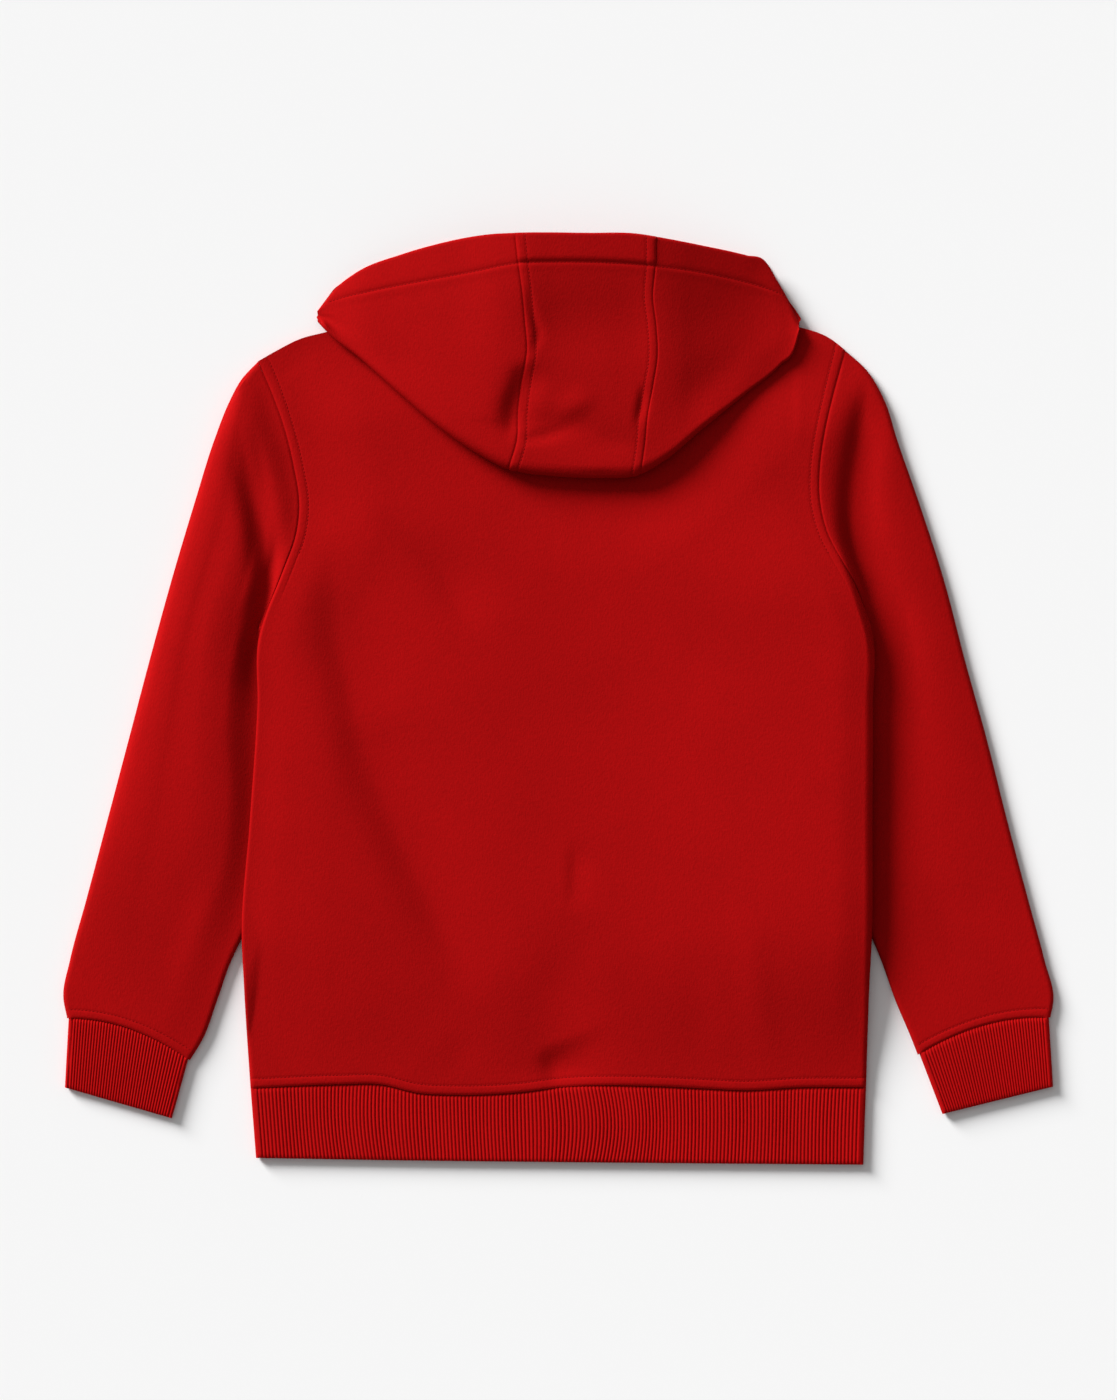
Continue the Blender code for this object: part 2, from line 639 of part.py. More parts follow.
def make_hem_band():
    sides = side_x(-272.0, 0), side_x(-272.0, 1)
    columns = [x for x, fall in body_row(sides, 1.0)[0]]
    seam_x = [sides[0], *columns[2:-2], sides[1]]
    seam_y = [float(height_of(HEM_SEAM, x)) for x in seam_x]

    def seam(share):
        x = sides[0] + (sides[1] - sides[0]) * share
        return np.array((x, np.interp(x, seam_x, seam_y)))

    def hem(share):
        x = HEM_EDGE[0].x + (HEM_EDGE[-1].x - HEM_EDGE[0].x) * share
        return np.array((x, float(height_of(HEM_EDGE, x))))

    plan = coons(seam, hem,
                 lambda share: seam(0.0) + (hem(0.0) - seam(0.0)) * share,
                 lambda share: seam(1.0) + (hem(1.0) - seam(1.0)) * share)
    rows = ((0.0, 0.0), (0.5, 0.0), (0.97, 0.0), (1.0, 0.7))
    plain_columns = [(x - sides[0]) / (sides[1] - sides[0]) for x in columns[3:-3]]
    ribbed_tube("hem_band", plan, rows, HEM_RIBS, plain_columns)


# Hood

def hood_floor(x, y):
    """Height of the hood's underside: on the back, then down past the shoulder line."""
    beyond = y - float(height_of(SHOULDER_LINE, x))
    return HOOD_REST * float(smooth((9.0 - beyond) / 7.5))


def gusset_seam(right):
    """The seam between a side and the centre, from the rolled edge (0) to the rim (1)."""
    values = GUSSET_RIGHT if right else GUSSET_LEFT
    fold_y = float(height_of(HOOD_LOWER, values[0]))
    rim_y = float(height_of(HOOD_RIM, values[-1]))
    places = np.linspace(0.0, 1.0, len(values))
    return lambda share: np.array((float(curve_value(places, values, share)),
                                   fold_y + (rim_y - fold_y) * share))


def hood_upper(column_share, share, fold, rim, start, end):
    """A plan point of the upper layer between its fold, rim and two side lines."""
    along_start = start(share) - (start(0.0) * (1 - share) + start(1.0) * share)
    along_end = end(share) - (end(0.0) * (1 - share) + end(1.0) * share)
    return (fold * (1 - share) + rim * share
            + (1 - column_share) * along_start + column_share * along_end)


def hood_height(share, roll, base, lip, crown, hollow):
    """Top of the upper layer from its rolled edge to the rim."""
    start = base + 2 * roll
    arch = crown * (4 * share * (1 - share)) ** 0.8 * (1.25 - 0.5 * share)
    dip = hollow * math.exp(-((share - 0.78) / 0.16) ** 2)
    return start + (lip - start) * float(smooth(share)) + arch - dip


def upper_and_roll(fold, plan, roll, lip, crown, hollow):
    """The column's points from the rim down the upper layer and round the rolled edge."""
    base = hood_floor(*fold)
    length = np.hypot(*(plan(1.0) - plan(0.0)))
    inset = roll / length
    outer = []
    inner = []
    for row in reversed(HOOD_TOP_ROWS):
        share = inset + (1 - inset) * row
        height = hood_height(row, roll, base, lip, crown, hollow)
        outer.append((*plan(share), height))
        inner.append((*plan(share), height - FLEECE))
    centre = plan(inset)
    outward = plan(0.0) - plan(min(1.0, 2 * inset))
    outward /= np.hypot(*outward)
    for angle in reversed(ROLL_ANGLES):
        reach = math.cos(math.radians(angle))
        rise = math.sin(math.radians(angle))
        for skin, size in ((outer, roll), (inner, roll - FLEECE)):
            skin.append((*(centre + outward * size * reach), base + roll + size * rise))
    return outer, inner, centre


def lower_points(centre, column, back_share_rows):
    """Plan points of the lower layer, from the rolled edge to the floor rim."""
    rim = np.array(column.floor_rim)
    if column.neck is None:
        return [centre + (rim - centre) * share for share in TIP_ROWS]
    shoulder = np.array((column.neck, float(height_of(SHOULDER_LINE, column.neck))))
    if column.floor_neck is None:
        onward = rim - shoulder
        onward /= np.hypot(*onward)
        crossing = [shoulder + onward * step for step in SHOULDER_STEPS]
        points = [centre + (crossing[0] - centre) * share for share in back_share_rows]
        last = crossing[-1]
        return points + crossing + [last + (rim - last) * 0.5, rim]
    back = np.array((column.neck, top_line(column.neck, BACK_NECK_DROP)))
    points = [centre + (back - centre) * share for share in back_share_rows] + [back]
    front_y = np.interp(column.floor_neck, *FRONT_NECK_EDGE) + SEAM_GAP
    front = np.array((column.floor_neck, front_y))
    if abs(column.floor_neck) > NECK_HALF - 10.0:
        low = [front + np.array((0.0, step)) for step in (0.0, 5.0, 10.0)]
        low.append(np.array((column.floor_neck, NECK_POINT + SHOULDER_STEPS[-1])))
    else:
        low = [front + (rim - front) * share for share in (0.0, 0.12, 0.24, 0.36)]
    last = low[-1]
    return points + low + [last + (rim - last) * 0.5, rim]


def front_neck_edge():
    """The front panel's neck edge as its columns give it: X places and their heights."""
    sides = ARMHOLE_TOP[0][0], ARMHOLE_TOP[1][0]
    places = [x for x, fall in body_row(sides, 0.0)[0]]
    return places, [top_line(x, FRONT_NECK_DROP) for x in places]


FRONT_NECK_EDGE = front_neck_edge()
LOWER_BACK_ROWS = (0.0, 0.25, 0.5, 0.75)


def make_hood_side(name, columns, right):
    seam = gusset_seam(right)
    count = len(columns)
    folds = [np.array((c.fold, float(height_of(HOOD_LOWER, c.fold)))) for c in columns]
    rims = [np.array((c.rim, float(height_of(HOOD_RIM, c.rim)))) for c in columns]
    folds[-1] = seam(0.0)
    rims[-1] = seam(1.0)
    gap = np.array((SEAM_GAP / 2 if right else -SEAM_GAP / 2, 0.0))

    def tip_line(share):
        return folds[0] + (rims[0] - folds[0]) * share

    outer = []
    inner = []
    for index, column in enumerate(columns):
        share_across = index / (count - 1)

        def plan(share, index=index, share_across=share_across):
            return gap * share_across + hood_upper(
                share_across, share, folds[index], rims[index], tip_line, seam)
        hollow = CENTRE_HOLLOW[0] * share_across ** 6
        top, under, centre = upper_and_roll(folds[index], plan, column.roll, column.lip,
                                            column.crown, hollow)
        low = lower_points(centre, column, LOWER_BACK_ROWS)
        for place, point in enumerate(low):
            on_floor = column.floor_neck is not None and place > len(LOWER_BACK_ROWS)
            height = 0.0 if on_floor else hood_floor(*point)
            if column.floor_neck is not None and not on_floor:
                height = HOOD_REST
            top.append((*point, height))
            under.append((*point, height + FLEECE))
        outer.append(top)
        inner.append(under)
    outer = np.array(outer).transpose(1, 0, 2)
    inner = np.array(inner).transpose(1, 0, 2)
    keep = np.ones((outer.shape[0] - 1, count - 1), bool)
    neck_row = len(HOOD_TOP_ROWS) + len(ROLL_ANGLES) + len(LOWER_BACK_ROWS)
    keep[neck_row, LAST_COLUMN_OVER_SHOULDER:] = False
    keep[neck_row:neck_row + 4, LAST_COLUMN_OVER_SHOULDER] = False
    sheet(name, outer, inner, keep)


def make_hood_centre():
    left, right = gusset_seam(0), gusset_seam(1)
    gap = np.array((SEAM_GAP / 2, 0.0))
    across = (0.0, 0.17, 0.34, 0.5, 0.66, 0.83, 1.0)
    outer = []
    inner = []
    for share_across in across:
        fold_x = GUSSET_LEFT[0] + (GUSSET_RIGHT[0] - GUSSET_LEFT[0]) * share_across
        rim_x = GUSSET_LEFT[-1] + (GUSSET_RIGHT[-1] - GUSSET_LEFT[-1]) * share_across
        fold = np.array((fold_x, float(height_of(HOOD_LOWER, fold_x))))
        rim = np.array((rim_x, float(height_of(HOOD_RIM, rim_x))))

        def plan(share, share_across=share_across, fold=fold, rim=rim):
            return gap * (1 - 2 * share_across) + hood_upper(
                share_across, share, fold, rim, left, right)
        sag = 4 * share_across * (1 - share_across)
        crown, hollow = (at_seam + change * sag
                         for at_seam, change in (CENTRE_CROWN, CENTRE_HOLLOW))
        top, under, centre = upper_and_roll(fold, plan, CENTRE_ROLL, CENTRE_LIP, crown, hollow)
        nape_x = NAPE_SEAMS[0] + (NAPE_SEAMS[1] - NAPE_SEAMS[0]) * share_across
        nape = np.array((nape_x, top_line(nape_x, BACK_NECK_DROP)))
        nape += gap * (1 - 2 * share_across)
        for share in (*LOWER_BACK_ROWS, 1.0):
            point = centre + (nape - centre) * share
            top.append((*point, HOOD_REST))
            under.append((*point, HOOD_REST + FLEECE))
        outer.append(top)
        inner.append(under)
    sheet("hood_centre", np.array(outer).transpose(1, 0, 2), np.array(inner).transpose(1, 0, 2))


def main():
    for thing in list(bpy.data.objects):
        bpy.data.objects.remove(thing, do_unlink=True)
    collection = bpy.data.collections.new(COLLECTION)
    bpy.context.scene.collection.children.link(collection)
    make_body()
    for right in (0, 1):
        make_sleeve(right)
        make_cuff(right)
    make_hem_band()
    make_hood_side("hood_side_left", HOOD_LEFT_COLUMNS, 0)
    make_hood_side("hood_side_right", HOOD_RIGHT_COLUMNS, 1)
    make_hood_centre()


main()
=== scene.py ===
"""The looks of a child's pullover hoodie in brushed fleece, laid flat with its back up.

X runs across the back, Y from the hem to the hood, Z up from the surface it lies on.
Lengths are millimetres here and become metres when a piece is made.
"""

import math
from collections import namedtuple

import bmesh
import bpy
import numpy as np
from bpy.props import FloatProperty, FloatVectorProperty, PointerProperty
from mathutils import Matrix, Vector


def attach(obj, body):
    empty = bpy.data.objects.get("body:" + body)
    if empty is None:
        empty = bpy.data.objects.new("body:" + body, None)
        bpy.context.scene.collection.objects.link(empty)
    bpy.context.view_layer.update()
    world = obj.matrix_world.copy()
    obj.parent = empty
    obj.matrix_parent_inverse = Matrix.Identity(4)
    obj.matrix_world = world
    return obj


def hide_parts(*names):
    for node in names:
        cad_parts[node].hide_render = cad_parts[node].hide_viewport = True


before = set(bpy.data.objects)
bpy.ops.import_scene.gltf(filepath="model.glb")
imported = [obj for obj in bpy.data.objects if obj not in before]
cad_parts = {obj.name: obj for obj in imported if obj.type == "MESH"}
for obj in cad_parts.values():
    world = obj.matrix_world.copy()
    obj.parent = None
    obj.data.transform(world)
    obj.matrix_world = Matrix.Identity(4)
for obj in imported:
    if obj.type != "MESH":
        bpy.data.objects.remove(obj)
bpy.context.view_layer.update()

bl_info = {
    "name": "Fleece hoodie laid flat",
    "version": (1, 0, 0),
    "blender": (4, 5, 0),
    "location": "3D View > Sidebar > Hoodie",
    "description": "Builds a child's fleece hoodie, its rib bands, seams and stitching",
    "category": "Add Mesh",
}

MM = 0.001
SIDES = ("left", "right")

# Cloth and how it is laid, as in the solids
WALL = 1.5                # shown thickness of a ply
FOLD_RADIUS = 2.7
FLAT_HEIGHT = 2 * FOLD_RADIUS      # two plies of fleece, flat
RIB_HEIGHT = 5.8          # two plies of rib knit
UNDERSIDE = 0.4           # height of the underside, whose welts come down to the floor
SEAM_GAP = 0.12           # between two pieces at their seam
UNDERARM = 48.0           # level of both underarm points
HALF_WIDTH = 205.0
NECK_HALF = 82.0
NECK_POINT = 275.0        # level of the shoulder seams' ends at the neck
BACK_NECK_DROP = 18.0
FRONT_NECK_DROP = 65.0
LEVEL_TOP = 190.0         # rows above this one bend up to the shoulders
SHOULDER_RISE = 50.0      # and go up about this far
TUCK_START = 138.0        # the body starts to ride up over the sleeve here, down the armhole
TUCK_FULL = 98.0          # and lies wholly on it from here
TUCK_END = (-232.0, -268.0)        # until it comes down again between these levels
TUCK_MARGIN = 12.0        # it stays raised this far past the sleeve's inner edge
TUCK_SLOPE = 36.0         # and comes down over this distance
TUCK_RISE = FLAT_HEIGHT + 1.0
CUFF_BOW = 8.0            # how far a cuff seam bows up from a straight line
CUFF_INSET = 1.2          # a cuff is narrower than its sleeve's end on each side

Point = namedtuple("Point", "x y")
Side = namedtuple("Side", "y left right")


def line_of(*pairs):
    return tuple(Point(*pair) for pair in pairs)


ARMHOLE_TOP = line_of((-210.2, 236.8), (200.7, 244.5))
SIDE_LINES = (            # side folds and armholes
    Side(-272.0, -215.4, 215.2), Side(-236.0, -217.8, 216.1), Side(-200.0, -219.8, 217.2),
    Side(-165.0, -221.4, 218.9), Side(-85.0, -215.8, 219.3), Side(-5.0, -210.4, 219.6),
    Side(48.0, -208.6, 218.8), Side(64.0, -203.4, 213.8), Side(80.0, -196.6, 207.4),
    Side(97.0, -189.9, 198.0), Side(112.0, -184.4, 189.6), Side(135.0, -181.2, 183.0),
    Side(165.0, -185.4, 182.6), Side(190.0, -191.6, 186.4), Side(215.0, -200.6, 192.4),
    Side(245.0, -214.0, 200.8),
)
SHOULDER_LINE = line_of(
    (-210.2, 236.8), (-195.5, 245.2), (-181.5, 252.2), (-163.3, 257.1), (-120.0, 266.0),
    (-82.0, 275.0), (82.0, 275.0), (120.0, 268.5), (167.8, 261.0), (190.9, 252.2), (200.7, 244.5))
HEM_SEAM = line_of(
    (-216.0, -271.4), (-152.8, -268.6), (-124.8, -268.6), (-96.8, -274.9), (-75.8, -276.0),
    (-26.8, -274.2), (1.2, -270.7), (71.2, -270.0), (99.2, -271.4), (130.7, -272.8),
    (169.2, -270.7), (216.0, -270.7))
HEM_EDGE = line_of(
    (-211.6, -320.3), (-110.0, -322.0), (0.0, -323.2), (110.0, -324.2), (213.3, -325.0))
SLEEVE_OUTER = (
    line_of((-210.2, 236.8), (-222.1, 224.2), (-229.8, 210.2), (-241.0, 182.2), (-254.3, 140.2),
            (-271.1, 84.2), (-286.5, 28.2), (-301.2, -27.8), (-315.9, -83.8), (-330.6, -139.8),
            (-341.8, -181.8), (-346.4, -208.0), (-343.6, -222.6)),
    line_of((200.7, 244.5), (215.4, 231.2), (228.0, 210.2), (237.1, 182.2), (251.8, 140.2),
            (270.0, 84.2), (284.7, 28.2), (300.1, -27.8), (314.1, -83.8), (328.8, -139.8),
            (340.0, -181.8), (346.3, -210.0), (344.0, -222.2)),
)
SLEEVE_INNER = (
    line_of((-208.9, 48.0), (-206.6, 36.0), (-203.6, 19.0), (-200.0, -5.0), (-197.2, -36.0),
            (-194.6, -74.0), (-200.4, -118.8), (-221.4, -167.8), (-229.0, -184.0),
            (-238.2, -209.8), (-248.7, -237.8), (-257.5, -252.2)),
    line_of((219.1, 48.0), (216.4, 36.0), (213.0, 19.0), (208.4, -5.0), (203.6, -36.0),
            (197.6, -74.0), (202.0, -118.8), (218.0, -165.0), (225.0, -182.0), (235.0, -209.8),
            (246.9, -237.8), (251.0, -248.3)),
)
SLEEVE_SWELL = (          # from the body's side (0) to the outer fold (1), and how full
    ((0.0, 0.04, 0.1, 0.2, 0.3, 0.4, 0.52, 0.64, 0.76, 0.86, 0.94, 1.0),
     (0.3, 0.5, 0.72, 0.9, 0.99, 1.0, 0.92, 0.83, 0.78, 0.64, 0.4, 0.0)),
    ((0.0, 0.1, 0.2, 0.3, 0.42, 0.55, 0.7, 0.85, 1.0),
     (-0.1, -0.14, -0.11, -0.03, 0.08, 0.16, 0.18, 0.13, 0.0)),
)
SLEEVE_CAP = (            # levels, and how far past the armhole the cap has come down
    ((48.0, 80.0, 110.0, 150.0, 180.0, 215.0, 240.0), (22.0, 24.0, 28.0, 38.0, 44.0, 44.0, 36.0)),
    ((48.0, 75.0, 97.0, 120.0, 150.0, 175.0, 200.0, 225.0, 240.0),
     (7.0, 7.0, 11.0, 19.0, 25.0, 27.0, 24.0, 20.0, 14.0)),
)
UNDERARM_SWEEP = ((0.0, 0.05, 0.11, 0.18, 0.26, 0.42, 0.58, 0.74, 1.0),    # row share, and how
                  (0.0, 10.0, 19.0, 27.0, 31.0, 27.0, 17.0, 7.0, 0.0))     # far it swings out
CUFF_END = (line_of((-345.3, -271.0), (-270.4, -292.6)),
            line_of((346.0, -270.4), (268.6, -289.6)))

# Hood
HOOD_REST = (10.9, 3.1)   # height on the back, and how much lower toward the shoulders
HOOD_LOWER = line_of(
    (-168.6, 264.5), (-161.5, 256.4), (-138.8, 238.2), (-110.8, 213.0), (-82.8, 189.2),
    (-54.8, 170.3), (-35.2, 160.5), (-26.8, 158.6), (1.2, 155.6), (29.2, 154.6), (57.2, 157.2),
    (74.7, 167.2), (99.2, 187.8), (130.7, 213.7), (155.2, 234.0), (165.5, 246.5), (168.2, 256.5))
HOOD_RIM = line_of(
    (-168.0, 273.0), (-155.0, 288.5), (-142.3, 298.0), (-109.4, 311.0), (-89.8, 316.6),
    (-45.7, 324.4), (-30.3, 325.0), (20.0, 325.0), (56.0, 324.4), (67.7, 322.6), (99.2, 317.0),
    (130.7, 310.5), (144.7, 306.4), (156.5, 286.0), (167.5, 266.0))
CASING_LINE = line_of(    # stitching that closes the casing along the opening
    (-168.0, 275.0), (-162.6, 277.4), (-131.8, 285.1), (-94.7, 292.1), (-58.3, 298.4),
    (-33.1, 303.3), (1.9, 304.7), (67.7, 301.9), (109.0, 296.3), (156.6, 283.0), (165.0, 279.0))
GUSSET_LEFT = (-35.2, -28.9, -28.2, -25.6, -21.9, -23.3, -25.2, -28.0, -30.3)    # fold to rim
GUSSET_RIGHT = (57.2, 60.2, 62.2, 66.0, 69.1, 68.2, 65.8, 67.6, 67.7)
NAPE_SEAMS = (-24.0, 31.0)
Column = namedtuple("Column", "fold rim roll neck floor_neck floor_rim")
HOOD_LEFT_COLUMNS = (     # fold, rim, neck and floor_neck are X places; floor_rim is a point
    Column(-168.6, -168.0, 3.4, None, None, Point(-168.9, 272.0)),
    Column(-160.0, -156.0, 3.0, None, None, Point(-157.0, 288.0)),
    Column(-145.0, -142.3, 3.4, -144.0, None, Point(-142.6, 298.6)),
    Column(-127.0, -123.0, 4.2, -124.0, None, Point(-123.0, 307.0)),
    Column(-107.0, -103.0, 5.0, -104.0, None, Point(-103.0, 314.0)),
    Column(-87.0, -84.0, 5.8, -86.0, None, Point(-84.0, 319.4)),
    Column(-69.0, -66.0, 6.2, -79.0, -79.0, Point(-66.0, 323.0)),
    Column(-52.0, -48.0, 6.2, -52.0, -45.0, Point(-40.0, 312.0)),
    Column(-35.2, -30.3, 6.2, -24.0, -0.6, Point(-2.5, 226.0)),
)
HOOD_RIGHT_COLUMNS = (
    Column(168.2, 167.5, 2.2, None, None, Point(168.4, 266.0)),
    Column(165.2, 156.5, 2.2, None, None, Point(157.4, 286.5)),
    Column(153.0, 144.7, 2.2, 150.0, None, Point(144.7, 306.8)),
    Column(135.0, 130.7, 2.5, 130.0, None, Point(130.7, 311.6)),
    Column(118.0, 115.0, 3.3, 108.0, None, Point(115.0, 315.0)),
    Column(102.0, 99.2, 4.6, 86.0, None, Point(99.2, 318.4)),
    Column(87.0, 88.0, 5.5, 77.0, 77.0, Point(80.0, 321.0)),
    Column(72.0, 78.0, 6.0, 56.0, 45.0, Point(48.0, 312.0)),
    Column(57.2, 67.7, 6.2, 31.0, 0.6, Point(3.5, 226.0)),
)
HOOD_STATIONS = (-168.0, -140.0, -110.0, -75.0, -40.0, -27.0, 0.0, 30.0, 60.0, 66.0, 74.0, 84.0,
                 95.0, 108.0, 120.0, 132.0, 145.0, 168.0)
HOOD_SHARES = (0.0, 0.2, 0.4, 0.6, 0.86, 1.0)        # from the rolled edge to the rim
HOOD_HEIGHTS = (          # of the upper layer, at the shares after the first
    (6.8, 15.2, 18.6, 22.4, 25.2, 25.2, 25.0, 25.8, 24.6, 24.2, 23.4, 22.0, 19.6, 17.0, 15.2,
     14.0, 13.0, 11.2),
    (6.9, 15.0, 18.9, 23.4, 28.0, 28.4, 27.2, 26.4, 24.9, 24.8, 24.2, 22.8, 20.3, 17.5, 15.4,
     13.8, 12.4, 10.4),
    (7.0, 14.7, 19.0, 24.0, 29.6, 29.8, 26.9, 25.6, 24.8, 25.2, 24.8, 23.3, 20.8, 18.0, 15.8,
     13.8, 11.9, 9.4),
    (7.0, 14.0, 18.4, 24.0, 30.6, 32.0, 31.2, 29.8, 28.4, 28.2, 27.2, 25.4, 23.0, 20.2, 17.4,
     14.7, 11.8, 8.4),
    (6.5, 13.2, 17.8, 24.0, 30.6, 32.4, 32.1, 31.2, 30.0, 29.6, 28.4, 26.6, 24.2, 21.0, 18.2,
     15.4, 11.4, 7.6),
)
LAST_COLUMN_OVER_SHOULDER = 5
SHOULDER_STEPS = (-3.0, 1.5, 4.0, 6.5, 9.5)
TIP_ROWS = (0.0, 0.02, 0.04, 0.06, 0.1, 0.25, 0.4, 0.55, 0.7, 0.85, 1.0)
LOWER_BACK_ROWS = (0.0, 0.25, 0.5, 0.75)

# Seams: places in from an edge, close together across the welt, in millimetres
STITCH_INSET = 6.4
EDGE_PLACES = np.array((0.0, 0.4, 0.9, 1.6, 2.6, 3.8, 4.9, 5.6, 6.1, 6.4, 6.7, 7.2, 8.0, 9.2,
                        11.0, 13.5))
STITCH_PLACE = 9          # of those places, the one that the stitching lies on
EVEN_STEP = 3.0           # between the other places on the back
COARSE_STEP = 4.2         # and on the front, which is hidden

# Creases: each is a soft trough along its route, and a negative depth makes a ridge. Two widths
# are those of its left-hand and right-hand slopes, going along the route.
Crease = namedtuple("Crease", "route strengths width depth")
BACK_CREASES = (
    Crease(((-156.0, 126.0), (-153.0, 80.0), (-152.0, 44.0), (-143.0, 8.0), (-137.0, -24.0),
            (-135.0, -60.0), (-137.0, -100.0)),
           (0.0, 0.6, 1.0, 1.1, 0.8, 0.3, 0.0), (48.0, 19.0), 4.8),
    Crease(((-141.0, -8.0), (-120.0, -70.0), (-97.0, -121.0), (-72.0, -170.0), (-49.0, -214.0)),
           (0.0, 0.9, 1.0, 0.7, 0.0), (48.0, 18.0), 4.8),
    Crease(((-191.0, 222.0), (-173.0, 193.0), (-144.0, 164.0), (-115.0, 135.0), (-82.0, 93.0),
            (-52.0, 40.0)),
           (0.3, 1.0, 0.9, 0.6, 0.8, 0.0), (24.0, 12.0), 2.8),
    Crease(((9.0, -96.0), (10.5, -112.0), (10.0, -130.0), (9.0, -152.0)),
           (0.0, 1.0, 0.8, 0.0), (12.0, 3.5), 0.8),
    Crease(((9.0, -140.0), (4.0, -176.0), (-2.0, -214.0), (-12.0, -262.0)),
           (0.0, 0.7, 1.0, 0.8), 22.0, 1.2),
    Crease(((-8.0, -240.0), (-3.0, -254.0), (-1.0, -266.0)), (0.0, 0.8, 1.0), (32.0, 9.0), 2.9),
    Crease(((118.0, -120.0), (134.0, -170.0), (140.0, -214.0), (146.0, -256.0)),
           (0.0, 0.7, 1.0, 0.4), 12.0, -0.7),
    Crease(((84.0, -166.0), (96.0, -206.0), (98.0, -258.0)), (0.0, 0.8, 0.3), 14.0, 0.5),
    Crease(((-60.0, -228.0), (-72.0, -250.0), (-88.0, -268.0)), (0.0, 1.0, 0.5), 12.0, 0.3),
)
FRONT_CREASES = (
    Crease(((150.0, 60.0), (128.0, -40.0), (82.0, -150.0)), (0.0, 1.0, 0.0), 16.0, 1.0),
    Crease(((-120.0, 90.0), (-100.0, 20.0), (-96.0, -60.0)), (0.0, 1.0, 0.0), 12.0, 0.8),
    Crease(((20.0, -150.0), (10.0, -210.0), (14.0, -262.0)), (0.0, 0.8, 0.5), 15.0, 0.9),
)
SLEEVE_CREASES = (
    (Crease(((-219.0, 206.0), (-218.0, 190.0), (-213.5, 149.0), (-206.0, 114.0), (-201.5, 85.0),
             (-203.0, 54.0), (-207.0, 30.0), (-208.0, 0.0), (-209.0, -40.0)),
            (0.0, 0.5, 0.9, 1.0, 1.15, 1.15, 0.9, 0.2, 0.0), (14.0, 10.0), 7.5),
     Crease(((-216.0, 200.0), (-208.8, 170.0), (-204.6, 141.0), (-200.0, 109.0)),
            (0.0, 1.0, 0.9, 0.0), (3.5, 5.0), 0.7),
     Crease(((-205.0, 222.0), (-197.0, 198.0), (-192.0, 178.0)), (0.0, 1.0, 0.0), 5.0, 0.5),
     Crease(((-250.0, -96.0), (-262.0, -150.0), (-276.0, -204.0)), (0.0, 1.0, 0.3), 13.0, 0.6)),
    (Crease(((213.5, 226.0), (212.6, 212.0), (211.2, 184.0), (208.0, 161.0), (205.8, 135.0),
             (206.5, 111.0), (211.4, 88.0), (218.0, 68.0), (222.0, 50.0)),
            (0.0, 0.5, 1.0, 1.1, 1.1, 1.2, 1.0, 0.5, 0.0), (14.0, 8.0), 3.7),
     Crease(((258.0, -110.0), (270.0, -160.0), (290.0, -204.0)), (0.0, 1.0, 0.3), 12.0, 0.6)),
)
HOOD_CREASES = (
    Crease(((-23.0, 238.0), (-25.0, 220.0), (-31.0, 203.0), (-32.0, 190.0), (-30.0, 176.0)),
           (0.0, 0.9, 1.0, 0.7, 0.0), (13.0, 8.0), 3.6),
    Crease(((-27.0, 180.0), (-18.0, 182.0), (-2.0, 186.0), (14.0, 192.0)),
           (0.7, 1.0, 0.7, 0.0), (4.0, 3.5), 1.0),
    Crease(((-30.0, 193.0), (-6.0, 191.0), (16.0, 187.0), (34.0, 178.0), (54.0, 166.0)),
           (0.5, 1.0, 1.0, 0.9, 0.4), (13.0, 26.0), 2.0),
    Crease(((-24.0, 172.0), (-8.0, 176.0), (12.0, 178.0), (40.0, 172.0)),
           (0.6, 1.0, 0.8, 0.4), (9.0, 11.0), -0.7),
    Crease(((-22.0, 236.0), (-14.0, 254.0), (-19.0, 272.0), (-21.0, 288.0)),
           (0.0, 0.9, 1.0, 0.3), (3.5, 3.0), 1.0),
    Crease(((-8.0, 192.0), (10.0, 204.0), (30.0, 214.0)), (0.0, 1.0, 0.0), (9.0, 7.0), -1.2),
    Crease(((58.5, 222.0), (57.5, 208.0), (54.0, 190.0)), (0.0, 1.0, 0.3), (5.0, 2.5), 1.5),
)


# Curves and blends

def smooth(value):
    """Ease from 0 to 1 without a corner at either end."""
    value = np.clip(value, 0.0, 1.0)
    return value * value * (3.0 - 2.0 * value)


def ramp(value, start, end):
    """0 at start and 1 at end, eased at both."""
    return smooth((value - start) / (end - start))


def bell(distance, width):
    """1 at no distance, and down to nothing at about two widths away."""
    return np.exp(-(distance / width) ** 2)


def off_folds(share, run):
    """0 at either fold of a flat tube, and 1 from a share of its width inward."""
    return smooth(np.minimum(share, 1.0 - share) / run)


def curve_value(places, values, at):
    """A cubic through the given values, with no corner at them.

    The values are numbers, or arrays of the same shape as at, one to a place.
    """
    places = np.asarray(places, float)
    values = np.asarray(values, float)
    slopes = np.gradient(values, places, axis=0)
    at = np.clip(at, places[0], places[-1])
    span = np.clip(np.searchsorted(places, at, side="right") - 1, 0, len(places) - 2)
    width = places[span + 1] - places[span]
    part = (at - places[span]) / width

    def pick(table, index):
        return table[index] if table.ndim == 1 else np.take_along_axis(table, index[None], 0)[0]
    start = pick(values, span)
    rise = pick(values, span + 1) - start
    lead = pick(slopes, span) * width
    trail = pick(slopes, span + 1) * width
    return (start + lead * part + (3 * rise - 2 * lead - trail) * part ** 2
            + (lead + trail - 2 * rise) * part ** 3)


def height_of(line, x):
    """The Y of a left-to-right line of points at x."""
    return curve_value([point.x for point in line], [point.y for point in line], x)


def shares_along(points):
    steps = np.hypot(*np.diff(points, axis=0).T)
    return np.concatenate(([0.0], np.cumsum(steps))) / steps.sum()


